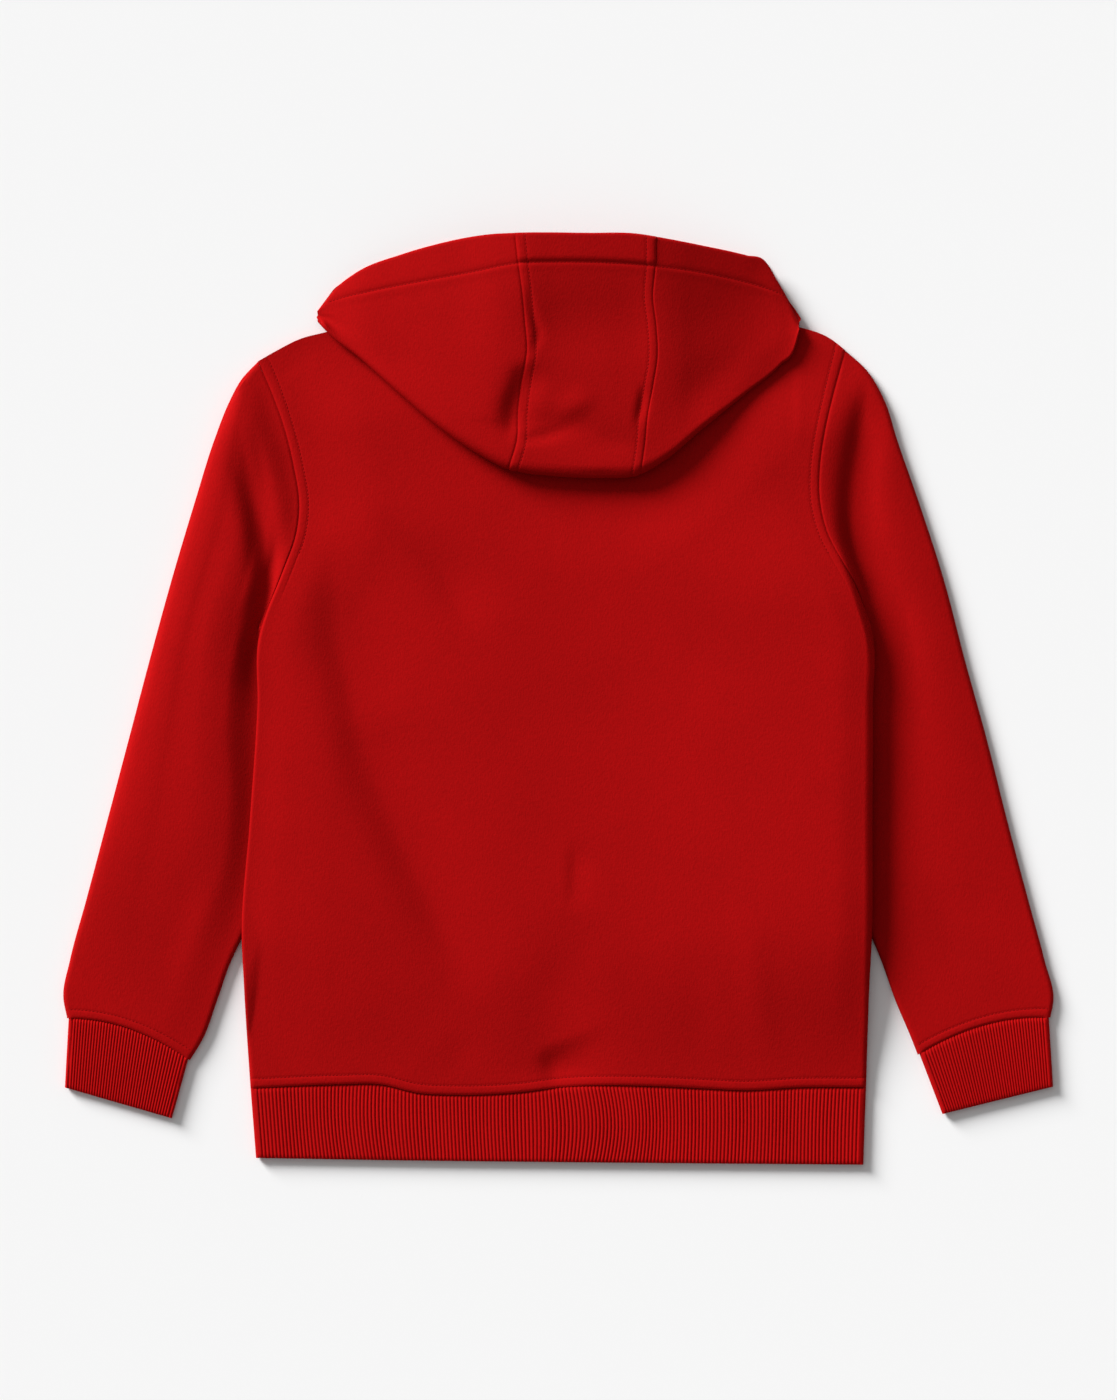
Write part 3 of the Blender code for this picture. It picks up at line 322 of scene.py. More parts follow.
def along(line, share):
    """Plan points at shares of the way along a smooth line of points."""
    points = np.array(line, float)
    places = shares_along(points)
    return np.stack([curve_value(places, points[:, axis], share) for axis in (0, 1)], -1)


def side_x(y, right):
    values = [row.right if right else row.left for row in SIDE_LINES]
    return curve_value([row.y for row in SIDE_LINES], values, y)


ROUTE_STEPS = 25
MOST_STRENGTH = 1.25       # strengths ease off toward this
SEAM_DIP = (0.5, 0.8)      # depth and width of the dip at a seam
WELT_RISE = 0.2            # of the cloth between a seam and its stitching
STITCH_PRESS = (0.22, 0.7)         # depth and width of the dip under the stitching
HOLLOW_AIR = 0.5           # left under the deepest hollow
HOLLOW_EASE = 2.4          # how softly a hollow is held up


def trough(creases, x, y):
    """Depth of the creases at places in plan."""
    total = np.zeros(np.shape(x))
    for crease in creases:
        stations = np.linspace(0.0, 1.0, ROUTE_STEPS)
        route = along(crease.route, stations)
        marks = np.linspace(0.0, 1.0, len(crease.strengths))
        strengths = curve_value(marks, crease.strengths, stations)
        strengths = MOST_STRENGTH * smooth(strengths / MOST_STRENGTH)
        left, right = np.broadcast_to(crease.width, 2)
        nearest = np.full(np.shape(x), np.inf)
        strength = np.zeros(np.shape(x))
        width = np.ones(np.shape(x))
        for start, end, first, last in zip(route, route[1:], strengths, strengths[1:]):
            run = end - start
            part = ((x - start[0]) * run[0] + (y - start[1]) * run[1]) / (run @ run)
            part = np.clip(part, 0.0, 1.0)
            off = x - start[0] - part * run[0], y - start[1] - part * run[1]
            away = np.hypot(*off)
            closer = away < nearest
            width = np.where(closer, np.where(run[0] * off[1] > run[1] * off[0], left, right),
                             width)
            nearest = np.where(closer, away, nearest)
            strength = np.where(closer, first + part * (last - first), strength)
        total += crease.depth * strength * bell(nearest, width)
    return total


def seam_dip(distance):
    """Where cloth turns down into a seam."""
    return SEAM_DIP[0] * bell(distance, SEAM_DIP[1])


def welt(distance):
    """The rise of the cloth between a seam and the stitching that holds it down."""
    plump = WELT_RISE * np.sin(math.pi * np.clip(distance / STITCH_INSET, 0.0, 1.0))
    pressed = STITCH_PRESS[0] * bell(distance - STITCH_INSET, STITCH_PRESS[1])
    return plump - pressed - seam_dip(distance)


def edge_fall(distance, height):
    """How far a rolled edge has come down at a distance in from its outermost line."""
    out = 1.0 - np.clip(distance / height, 0.0, 1.0)
    return height * (1.0 - np.sqrt(1.0 - out ** 2))


def settle(height):
    """Keep a hollow above the cloth beneath it, without a flat bottom."""
    low = 2 * WALL + HOLLOW_AIR
    eased = low + HOLLOW_EASE
    sunk = low + HOLLOW_EASE * np.exp(np.minimum(height - low - HOLLOW_EASE, 0.0) / HOLLOW_EASE)
    return np.where(height < eased, sunk, height)


# Making a piece

def settings():
    return bpy.context.scene.hoodie


def new_piece(name, points, faces, finish, sharpness=50.0):
    mesh = bpy.data.meshes.new(name)
    mesh.from_pydata((np.asarray(points) * MM).tolist(), [], np.asarray(faces).tolist())
    build = bmesh.new()
    build.from_mesh(mesh)
    bmesh.ops.recalc_face_normals(build, faces=build.faces)
    build.to_mesh(mesh)
    build.free()
    mesh.shade_smooth()
    mesh.set_sharp_from_angle(angle=math.radians(sharpness))
    mesh.materials.append(finish)
    piece = bpy.data.objects.new(name, mesh)
    bpy.context.scene.collection.objects.link(piece)
    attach(piece, "root")
    return piece


def skin_normals(skin, around):
    """Unit normals of a grid of points, whose columns may close into a ring."""
    if around:
        across = np.roll(skin, -1, axis=1) - np.roll(skin, 1, axis=1)
    else:
        across = np.gradient(skin, axis=1)
    normals = np.cross(across, np.gradient(skin, axis=0))
    return normals / np.maximum(np.linalg.norm(normals, axis=-1, keepdims=True), 1e-9)


def shell(name, outer, inner, finish, around=False, keep=None):
    """A closed wall of cloth between two grids of points, with its cut edges finished.

    keep says which cells of the grid are cloth; the rest are openings in the piece.
    """
    rows, columns = outer.shape[:2]
    count = rows * columns
    index = np.arange(count).reshape(rows, columns)
    after = np.roll(index, -1, axis=1)
    cells = np.stack((index[:-1], after[:-1], after[1:], index[1:]), -1)
    if not around:
        cells = cells[:, :-1]
    cells = cells.reshape(-1, 4) if keep is None else cells[keep]
    edges = np.concatenate([cells[:, (side, (side + 1) % 4)] for side in range(4)])
    forward = edges[:, 0] * count + edges[:, 1]
    backward = edges[:, 1] * count + edges[:, 0]
    cut = edges[~np.isin(forward, backward)]
    rims = np.stack((cut[:, 1], cut[:, 0], cut[:, 0] + count, cut[:, 1] + count), -1)
    faces = np.concatenate((cells, cells[:, ::-1] + count, rims))
    used, faces = np.unique(faces, return_inverse=True)
    points = np.concatenate((outer.reshape(-1, 3), inner.reshape(-1, 3)))[used]
    points[:, 2] = np.maximum(points[:, 2], 0.0)        # it lies on the floor, never in it
    return new_piece(name, points, faces.reshape(-1, 4), finish)


STITCH_SECTIONS = (        # place along a stitch, size, rise
    (-0.5, 0.3, -0.35), (-0.36, 0.9, 0.0), (0.0, 1.0, 0.12), (0.36, 0.9, 0.0), (0.5, 0.3, -0.35))
STITCH_SHARE = 0.86        # of the pitch; the rest is the gap to the next stitch
STITCH_ANGLES = np.radians(np.arange(0, 360, 60))
STITCH_SHARPNESS = 80.0    # degrees between faces that shade apart


def stitching(name, lines, finish):
    """Lock stitches laid end to end along lines of (points, normals)."""
    sizes = settings()
    pitch = sizes.stitch_length / MM
    thread = sizes.thread_width / MM / 2
    points = []
    faces = []
    for route, normals in lines:
        lengths = np.concatenate(([0.0], np.cumsum(np.linalg.norm(np.diff(route, axis=0),
                                                                  axis=1))))
        starts = np.arange(pitch / 2, lengths[-1] - pitch / 2, pitch)
        for middle in starts:
            ends = [np.array([np.interp(middle + half * pitch / 2, lengths, route[:, axis])
                              for axis in range(3)]) for half in (-1, 1)]
            up = np.array([np.interp(middle, lengths, normals[:, axis]) for axis in range(3)])
            ahead = ends[1] - ends[0]
            ahead /= np.linalg.norm(ahead)
            aside = np.cross(ahead, up)
            aside /= np.linalg.norm(aside)
            up = np.cross(aside, ahead)
            centre = (ends[0] + ends[1]) / 2
            first = len(points)
            for place, size, rise in STITCH_SECTIONS:
                at = centre + ahead * place * pitch * STITCH_SHARE + up * rise * thread * 2
                for angle in STITCH_ANGLES:
                    points.append(at + thread * size * (aside * math.cos(angle)
                                                        + up * math.sin(angle)))
            count = len(STITCH_ANGLES)
            for band in range(len(STITCH_SECTIONS) - 1):
                for side in range(count):
                    low = first + band * count
                    faces.append((low + side, low + (side + 1) % count,
                                  low + count + (side + 1) % count, low + count + side))
            last = first + (len(STITCH_SECTIONS) - 1) * count
            for cap in (first, last):
                faces.append((cap, cap + 1, cap + 2, cap + 3))
                faces.append((cap, cap + 3, cap + 4, cap + 5))
    return new_piece(name, points, faces, finish, STITCH_SHARPNESS)


# Body panels

def sleeve_reach(y, right):
    """X of a sleeve's inner edge at a height on the garment."""
    line = sorted(SLEEVE_INNER[right], key=lambda point: point.y)
    return curve_value([point.y for point in line], [point.x for point in line], y)


def tuck(x, y):
    """Where the body lies over the sleeves' tucked edges, from 0 to 1."""
    inward = np.minimum(x - sleeve_reach(y, 0), sleeve_reach(y, 1) - x)
    return ramp(inward, TUCK_MARGIN + TUCK_SLOPE, TUCK_MARGIN) \
        * ramp(y, TUCK_START, TUCK_FULL) * ramp(y, TUCK_END[1], TUCK_END[0])


def top_line(x, neck_drop):
    scoop = neck_drop * np.sqrt(np.clip(1.0 - (x / NECK_HALF) ** 2, 0.0, 1.0))
    return height_of(SHOULDER_LINE, x) - scoop


HEM_MEAN = -271.4
HEM_BEND = (-195.0, -255.0)        # rows bend between these levels to follow the hem's seam
SHOULDER_PLACES = np.array((3.6, 2.7, 1.9, 1.2, 0.6, 0.2, 0.0))     # of the last rows, down
TIP_BLEND = 30.0          # from the armhole to where a row runs level with the shoulder


def body_plan(neck_drop, step):
    """Plan places of a panel's grid, and each one's distance in from the side and the top."""
    levels = np.concatenate((HEM_MEAN + EDGE_PLACES,
                             np.arange(HEM_MEAN + EDGE_PLACES[-1], LEVEL_TOP, step)[1:]))
    reach = np.arange(0.0, 1.0, step / SHOULDER_RISE)
    rolled = 1.0 - SHOULDER_PLACES / SHOULDER_RISE
    reach = np.concatenate((reach[reach < rolled[0] - 0.02], rolled))
    places_x = []
    places_y = []
    for level in levels:
        sides = side_x(level, 0), side_x(level, 1)
        x = row_places(sides, step)
        hem = (height_of(HEM_SEAM, x) - HEM_MEAN) * ramp(level, *HEM_BEND)
        places_x.append(x)
        places_y.append(level + hem)
    for share in reach:
        sides = [side_x(LEVEL_TOP + share * (ARMHOLE_TOP[right].y - LEVEL_TOP), right)
                 for right in (0, 1)]
        x = row_places(sides, step)
        top = top_line(x, neck_drop)
        for right in (0, 1):      # the ends of the row stay on the armholes
            over = top[-right] - ARMHOLE_TOP[right].y
            top = top - over * ramp(np.abs(x - sides[right]), TIP_BLEND, 0.0)
        places_x.append(x)
        places_y.append(LEVEL_TOP + share * (top - LEVEL_TOP))
    x = np.array(places_x)
    y = np.array(places_y)
    side_distance = np.minimum(x - x[:, :1], x[:, -1:] - x)
    return x, y, side_distance, top_line(x, neck_drop) - y


def row_places(sides, step):
    """X places across a row, close together at both sides."""
    half = (sides[1] - sides[0]) / 2
    count = round(HALF_WIDTH / step)
    inward = np.concatenate((EDGE_PLACES, np.linspace(EDGE_PLACES[-1], half, count)[1:]))
    return np.concatenate((sides[0] + inward, (sides[1] - inward[:-1])[::-1]))


# How full the back is, as shares of its loft, and how far it takes to fill out. Pairs of
# values are for its left and right sides; other pairs are levels or places to ease between.
SEAM_FILL = (0.4, 0.85)            # at its armhole seams
SEAM_RUN = 60.0
SIDE_FILL = (0.5, 1.0)             # over the sleeves, out of what is left
UNDER_HOOD = 0.62
HOOD_RUN = 70.0
TOP_RUN = 75.0                     # down from the shoulders, where it is flat
HEM_FILL = 0.12
HEM_RUN = (-296.0, -126.0)
OVER_SLEEVES = ((156.0, 64.0), (-272.0, -162.0))     # its sides stand up between these
SIDE_LIFT = (-4.2, 3.4)            # how much more than the side fold's loft
LIFT_RUN = (160.0, 210.0)          # how far in the rise reaches
SIDE_ROLL = (1.0, 2.0)             # how far it comes down again before the side fold
ROLL_RUN = 26.0
HOOD_EDGE = 2.0                    # the hood's rolled edge reaches this far past its line
CREASES_UNDER_HOOD = (-40.0, 20.0)         # creases fade in out from under the hood
CREASES_AT_HEM = (-279.0, -255.0)          # and above the hem's seam
SIDE_TURN = (104.0, 56.0)          # the armhole becomes a side fold between these levels
PLY_AIR = 0.6


def body_under(x, y):
    return TUCK_RISE * tuck(x, y)


def by_side(x, pair):
    """The left or the right value of a pair, for places at x."""
    return np.where(x < 0.0, *pair)


def part_full(fill, share):
    """From fill to 1, as share goes from 0 to 1."""
    return fill + (1.0 - fill) * share


def body_top(x, y):
    puff = settings().body_loft / MM
    rise = TUCK_RISE + settings().edge_loft / MM + by_side(x, SIDE_LIFT) - puff
    side_room = np.minimum(x - side_x(y, 0), side_x(y, 1) - x)
    hood_room = height_of(HOOD_LOWER, x) - HOOD_EDGE - y
    top_room = height_of(SHOULDER_LINE, x) - y
    over_sleeves = ramp(y, *OVER_SLEEVES[0]) * ramp(y, *OVER_SLEEVES[1])
    filled = part_full(by_side(x, SEAM_FILL), smooth(side_room / SEAM_RUN))
    filled = part_full(filled, over_sleeves * by_side(x, SIDE_FILL))
    filled = filled * part_full(UNDER_HOOD, smooth(hood_room / HOOD_RUN)) \
        * smooth(top_room / TOP_RUN) * part_full(HEM_FILL, ramp(y, *HEM_RUN))
    lifted = over_sleeves * ramp(side_room, by_side(x, LIFT_RUN), 0.0)
    rolled = by_side(x, SIDE_ROLL) * over_sleeves * ramp(side_room, ROLL_RUN, 0.0)
    relief = trough(BACK_CREASES, x, y) * ramp(hood_room, *CREASES_UNDER_HOOD) \
        * ramp(y, *CREASES_AT_HEM)
    height = FLAT_HEIGHT + puff * filled + rise * lifted - rolled - relief
    return np.maximum(height, body_under(x, y) + 2 * WALL + PLY_AIR)


def side_turn(y):
    """How far a side has become a fold, from its armhole (0) to its side fold (1)."""
    return ramp(y, *SIDE_TURN)


BESIDE_UNDERARM = (20.0, 50.0)     # the back's edge goes from fold to sleeve seam between these
SHOULDER_ROLL = (2.0, 12.0)        # the shoulders' rolled top starts this far out from the neck
FRONT_CREASE_INSET = (12.0, 42.0)
UNDER_WELT = 0.75                  # share of a welt's relief on the underside
STITCH_END = 6                     # the hem's stitching stops this many places in from a side


def panel(name, neck_drop, step, face_up, finish):
    """A body panel, its rolled side folds and shoulders, and its lines of stitching."""
    x, y, side_distance, top_distance = body_plan(neck_drop, step)
    level = body_top(x, y)
    half_edge = (level - body_under(x, y)) / 2
    turn = side_turn(y)
    depth = half_edge.copy()
    if face_up:
        depth += (level - FLAT_HEIGHT - half_edge) * ramp(y, *BESIDE_UNDERARM)
    shoulder = ramp(np.abs(x) - NECK_HALF, *SHOULDER_ROLL)
    fall = turn * edge_fall(side_distance, half_edge) * depth / half_edge \
        + shoulder * edge_fall(top_distance, FOLD_RADIUS)
    fall = np.minimum(fall, depth)
    hem_distance = y - height_of(HEM_SEAM, x)
    sewn = welt(side_distance) * (1.0 - turn) + welt(hem_distance)
    if face_up:
        z = level + sewn - fall
    else:
        pressed = trough(FRONT_CREASES, x, y) * ramp(side_distance, *FRONT_CREASE_INSET)
        z = body_under(x, y) + UNDERSIDE + pressed - UNDER_WELT * sewn + fall
    outer = np.stack((x, y, z), -1)
    normals = skin_normals(outer, False)
    if (normals[..., 2].mean() > 0) != face_up:
        normals = -normals
    piece = shell(name, outer, outer - normals * WALL, finish)
    seam = STITCH_PLACE
    shown = (y[:, seam] > TUCK_FULL + 2.0) & (top_distance[:, seam] > 2.0)
    across = slice(STITCH_END, -STITCH_END)
    places = (shown, seam), (shown, -1 - seam), (seam, across)
    return piece, [(outer[place], normals[place]) for place in places]


# Sleeves and rib bands

def coons(first, last, outer_edge, inner_edge):
    """A plan patch between four edges: (row share, column share) to points."""
    corners = first(0.0), first(1.0), last(0.0), last(1.0)

    def points(row, column):
        row, column = np.broadcast_arrays(row, column)
        down, across = row[..., None], column[..., None]
        straight = ((1 - down) * ((1 - across) * corners[0] + across * corners[1])
                    + down * ((1 - across) * corners[2] + across * corners[3]))
        return ((1 - down) * first(column) + down * last(column)
                + (1 - across) * outer_edge(row) + across * inner_edge(row) - straight)
    return points


CUFF_RUN = 416.0          # how far a whole row share runs along the sleeve beside its cuff
ARMHOLE_RUN = 500.0       # and beside its armhole
CAP_PLACES = np.array((0.0, 0.4, 0.9, 1.6, 2.6, 4.0, 6.0, 8.5))    # of the first rows
SLEEVE_ROWS = 136
SLEEVE_COLUMNS = 46
EVENNESS = 0.55           # of the columns; the rest of their spacing draws them to the folds
ROW_SPREAD = (1.35, 0.85)         # of the rows along the outer fold, at the shoulder and cuff
INNER_SPREAD = 1.3        # the rows' power along the inner edge, where they start close together
SWEEP_LEAN = 1.5          # the underarm's sweep is widest this power of the way across
TUCK_LEAN = 1.5           # how fast a sleeve slips under the body, down from where it is full
LOWER_SLEEVE = 0.6        # share of a sleeve, up from its cuff, over which it fills out
AT_CUFF = 0.1             # of its loft
INNER_RUN = 30.0          # in from its inner fold, over which it fills out
CAP_RISE = 0.06           # share of its length over which it fills out at the armhole
CAP_CREASE = 0.05         # and over which its creases begin there
TOP_EASE = 0.07           # share of its width over which they begin beside a fold
UNDER_EASE = 0.06         # and the welts beneath
UNDER_RELIEF = 0.6        # share of a welt's relief on its underside


def straight(first, last):
    """Plan points at shares of the way between two points."""
    return lambda share: first + (last - first) * np.asarray(share, float)[..., None]


def armhole_curve(right):
    tip = ARMHOLE_TOP[right]
    levels = np.linspace(tip.y, UNDERARM, 60)
    out = SEAM_GAP if right else -SEAM_GAP
    points = np.stack((side_x(levels, right) + out, levels), -1)
    places = shares_along(points)
    return lambda share: np.stack([np.interp(share, places, points[:, axis])
                                   for axis in (0, 1)], -1)


def cuff_seam(right):
    start = np.array(SLEEVE_OUTER[right][-1])
    end = np.array(SLEEVE_INNER[right][-1])

    def points(share):
        share = np.asarray(share, float)[..., None]
        return start + (end - start) * share + np.array((0.0, CUFF_BOW)) * 4 * share * (1 - share)
    return points


def sleeve_plan(right):
    armhole = armhole_curve(right)
    outer_line = (tuple(armhole(0.0)), *SLEEVE_OUTER[right][1:])
    inner_line = (tuple(armhole(1.0)), *SLEEVE_INNER[right][1:])

    def outer_share(row):
        left = 1.0 - row
        return 1.0 - (ROW_SPREAD[1] * (left ** 3 - 2 * left ** 2 + left)
                      + ROW_SPREAD[0] * (left ** 3 - left ** 2) + 3 * left ** 2 - 2 * left ** 3)
    patch = coons(armhole, cuff_seam(right), lambda row: along(outer_line, outer_share(row)),
                  lambda row: along(inner_line, row ** INNER_SPREAD))

    def plan(row, share):
        points = patch(row, share)
        swing = np.interp(row, *UNDERARM_SWEEP) * np.sin(math.pi * share ** SWEEP_LEAN)
        x = points[..., 0] + (swing if right else -swing)
        below = np.maximum(0.0, TUCK_FULL - 4.0 - points[..., 1])
        slack = 2 * SEAM_GAP - TUCK_LEAN * below
        limit = side_x(points[..., 1], right) + (slack if right else -slack)
        kept = np.maximum(x, limit) if right else np.minimum(x, limit)
        return np.stack((np.where(row > 0.0, kept, x), points[..., 1]), -1)
    return plan


FOLD_ANGLES = np.radians((60, 30, 0, -30, -60))


def flat_tube(plan, rows, columns, radius, top, under):
    """Rings of a flattened tube with round folds: upper ply, fold, lower ply, fold.

    top and under give a ply's height at (row share, column share, x, y).
    """
    rows = np.asarray(rows, float)[:, None]
    width = np.linalg.norm(plan(rows, 1.0) - plan(rows, 0.0), axis=-1)
    inset = radius / width

    def ply(shares, height):
        shares = inset + (1 - 2 * inset) * shares
        points = plan(rows, shares)
        levels = height(rows, shares, points[..., 0], points[..., 1])
        levels = np.broadcast_to(levels, points.shape[:2])
        return np.concatenate((points, levels[..., None]), -1)

    def fold(share, edge, angles):
        centre = plan(rows, share)
        outward = plan(rows, edge) - centre
        outward /= np.linalg.norm(outward, axis=-1, keepdims=True)
        reach = radius * np.cos(angles)[None, :, None]
        points = centre + outward * reach
        levels = np.broadcast_to(radius * (1 + np.sin(angles)), points.shape[:2])
        return np.concatenate((points, levels[..., None]), -1)

    return np.concatenate((ply(columns, top), fold(1 - inset, 1.0, FOLD_ANGLES),
                           ply(columns[::-1], under), fold(inset, 0.0, FOLD_ANGLES[::-1])), 1)


def outward_normals(rings):
    """Normals of a tube's rings, turned to face out: up, on the upper ply."""
    normals = skin_normals(rings, True)
    upper = normals[:, :rings.shape[1] // 3, 2]
    return normals if upper.mean() > 0 else -normals


def sleeve(right, finish):
    plan = sleeve_plan(right)
    loft = settings().sleeve_loft / MM
    start = CAP_PLACES / ARMHOLE_RUN
    end = 1.0 - EDGE_PLACES[::-1] / CUFF_RUN
    rows = np.concatenate((start, np.linspace(start[-1], end[0], SLEEVE_ROWS)[1:-1], end))
    even = np.linspace(0.0, 1.0, SLEEVE_COLUMNS)
    columns = EVENNESS * even + (1.0 - EVENNESS) * (0.5 - 0.5 * np.cos(math.pi * even))
    toward_body = -1 if right else 1

    def width(row):
        return np.linalg.norm(plan(row, 1.0) - plan(row, 0.0), axis=-1)

    def sewn(row):
        return welt((1.0 - row) * CUFF_RUN) - seam_dip(row * ARMHOLE_RUN)

    def top(row, share, x, y):
        side = side_x(y, right)
        clear = np.maximum((side - x) * toward_body, 0.0)
        outer = share * width(row)
        swell = curve_value(*SLEEVE_SWELL[right], clear / np.maximum(clear + outer, 1e-6))
        inner = smooth((1.0 - share) * width(row) / INNER_RUN)
        rise = loft * swell * inner * part_full(AT_CUFF, smooth((1.0 - row) / LOWER_SLEEVE)) \
            * smooth(row / CAP_RISE)
        seam = (body_top(side, y) - FLAT_HEIGHT) * (1.0 - side_turn(y))
        edge = off_folds(share, TOP_EASE)
        down = np.clip(clear / curve_value(*SLEEVE_CAP[right], y), 0.0, 1.0)
        rise = rise + seam * (1.0 - down ** 2) * edge
        dip = trough(SLEEVE_CREASES[right], x, y) * edge * smooth(row / CAP_CREASE)
        return settle(FLAT_HEIGHT + rise - dip) + sewn(row) * edge

    def under(row, share, x, y):
        return UNDERSIDE - UNDER_RELIEF * sewn(row) * off_folds(share, UNDER_EASE)

    outer = flat_tube(plan, rows, columns, FOLD_RADIUS, top, under)
    normals = outward_normals(outer)
    piece = shell(f"sleeve_{SIDES[right]}_cloth", outer, outer - normals * WALL, finish,
                  around=True)
    row = len(rows) - 1 - STITCH_PLACE
    ring = np.r_[0:outer.shape[1], 0]
    return piece, [(outer[row, ring], normals[row, ring])]


RIB_ROUNDNESS = 0.75


def rib_rise(phase):
    """Cross section of the ribs: round tops and narrow valleys."""
    return np.abs(np.sin(math.pi * phase)) ** RIB_ROUNDNESS


RIB_ROWS = np.array((0.0, 0.015, 0.04, 0.09, 0.18, 0.3, 0.42, 0.54, 0.66, 0.78, 0.88, 0.94,
                     0.97, 0.99, 1.0))
RIB_SAMPLES = 6
SEAM_GATHER = (0.9, 1.1)   # how far the knit is drawn in beside its seam, and over what run
END_GATHER = (1.1, 0.955)  # and at its folded end, from what share of the way down
UNDER_RIBS = 0.8           # depth of the ribs on the underside, as a share of those on top
DRAWN_IN = (0.4, 0.6, 0.3)         # share of it on the upper inside, underside, lower inside
RIB_EASE = 0.012           # the ribs flatten out over this share of the width at a fold
RIPPLE_RUN = 23.0
RIPPLE_START = 1.3
INSIDE = 2.0               # thickness of the doubled knit


def rib_band(name, plan, ribs, ripple):
    """A doubled band of rib knit: its ribs stand on both plies, over a plain inside."""
    depth = settings().rib_depth / MM
    radius = RIB_HEIGHT / 2
    columns = np.linspace(0.0, 1.0, ribs * RIB_SAMPLES + 1)
    length = np.linalg.norm(plan(1.0, 0.5) - plan(0.0, 0.5))

    def gather(row):
        """How much the band is drawn in beside its seam and at its folded end."""
        return SEAM_GATHER[0] * bell(row * length, SEAM_GATHER[1]) \
            + END_GATHER[0] * ramp(row, END_GATHER[1], 1.0) ** 2

    def ribs_at(share):
        return depth * (rib_rise(ribs * (share - 0.5)) - 1.0)

    def top(row, share, x, y):
        soft = ripple * np.sin(x / RIPPLE_RUN + RIPPLE_START) * np.sin(math.pi * row)
        return RIB_HEIGHT - gather(row) + (ribs_at(share) + soft) * off_folds(share, RIB_EASE)

    def under(row, share, x, y):
        return DRAWN_IN[1] * gather(row) - ribs_at(share) * UNDER_RIBS

    def inner_top(row, share, x, y):
        return RIB_HEIGHT - INSIDE - DRAWN_IN[0] * gather(row)

    def inner_under(row, share, x, y):
        return INSIDE + DRAWN_IN[2] * gather(row)

    outer = flat_tube(plan, RIB_ROWS, columns, radius, top, under)
    inner = flat_tube(plan, RIB_ROWS, columns, radius, inner_top, inner_under)
    folded = np.linalg.norm(inner - outer, axis=-1) < 0.01
    inner = np.where(folded[..., None], outer - outward_normals(outer) * INSIDE, inner)
    return shell(name, outer, inner, rib_finish(), around=True)


CUFF_RIPPLE = 0.08         # how far the bands lie uneven
HEM_RIPPLE = 0.12
HEM_DRIFT = ((2.6, 61.0, 0.8), (1.1, 19.0, 0.0))     # how far its ribs wander: reach, run, start


def cuff(right):
    seam = cuff_seam(right)
    across = seam(1.0) - seam(0.0)
    inward = across / np.hypot(*across)
    down = np.array((-inward[1], inward[0])) * (1 if right else -1)
    down *= -1 if down[1] > 0 else 1
    start, end = (np.array(point) for point in CUFF_END[right])
    ease = CUFF_INSET / np.hypot(*across)

    def top_edge(share):
        return seam(ease + np.asarray(share, float) * (1 - 2 * ease)) + down * SEAM_GAP

    plan = coons(top_edge, straight(start, end), straight(top_edge(0.0), start),
                 straight(top_edge(1.0), end))
    ribs = round(np.hypot(*across) / (settings().cuff_rib_pitch / MM))
    return rib_band(f"cuff_{SIDES[right]}_knit", plan, ribs, CUFF_RIPPLE)


def hem_band():
    sides = side_x(HEM_MEAN, 0), side_x(HEM_MEAN, 1)

    def seam(share):
        x = sides[0] + (sides[1] - sides[0]) * np.asarray(share, float)
        return np.stack((x, height_of(HEM_SEAM, x) - SEAM_GAP), -1)

    def hem(share):
        x = HEM_EDGE[0].x + (HEM_EDGE[-1].x - HEM_EDGE[0].x) * np.asarray(share, float)
        return np.stack((x, height_of(HEM_EDGE, x)), -1)

    patch = coons(seam, hem, straight(seam(0.0), hem(0.0)), straight(seam(1.0), hem(1.0)))

    def plan(row, share):
        points = patch(row, share)
        x = points[..., 0]
        sway = np.sin(math.pi * np.asarray(row, float)) * np.sin(math.pi * share)
        drift = sum(reach * np.sin(x / run + begin) for reach, run, begin in HEM_DRIFT)
        return np.stack((x + sway * drift, points[..., 1]), -1)
    ribs = round((sides[1] - sides[0]) / (settings().hem_rib_pitch / MM))
    return rib_band("hem_band_knit", plan, ribs, HEM_RIPPLE)


# Hood

HOOD_REST_RUN = (105.0, 155.0)     # out from the middle, it comes to rest lower between these
HOOD_DROP = (9.0, 1.5)             # past the shoulders, it comes up from the floor between these


def hood_floor(x, y):
    """Height of the hood's underside: on the back, then down past the shoulder line."""
    beyond = y - height_of(SHOULDER_LINE, x)
    rest = HOOD_REST[0] - HOOD_REST[1] * ramp(np.abs(x), *HOOD_REST_RUN)
    return rest * ramp(beyond, *HOOD_DROP)


def gusset_seam(right):
    """The seam between a side and the centre, from the rolled edge (0) to the rim (1)."""
    values = GUSSET_RIGHT if right else GUSSET_LEFT
    fold_y = height_of(HOOD_LOWER, values[0])
    rim_y = height_of(HOOD_RIM, values[-1])
    places = np.linspace(0.0, 1.0, len(values))

    def points(share):
        share = np.asarray(share, float)
        return np.stack((curve_value(places, values, share), fold_y + (rim_y - fold_y) * share),
                        -1)
    return points


NECK_END = 10.0            # a column this near the end of the neck goes straight up beside it
NECK_END_STEPS = (0.0, 5.0, 10.0)
NECK_ROWS = (0.0, 0.12, 0.24, 0.36)


def part_way(first, last, shares):
    return [first + (last - first) * share for share in shares]


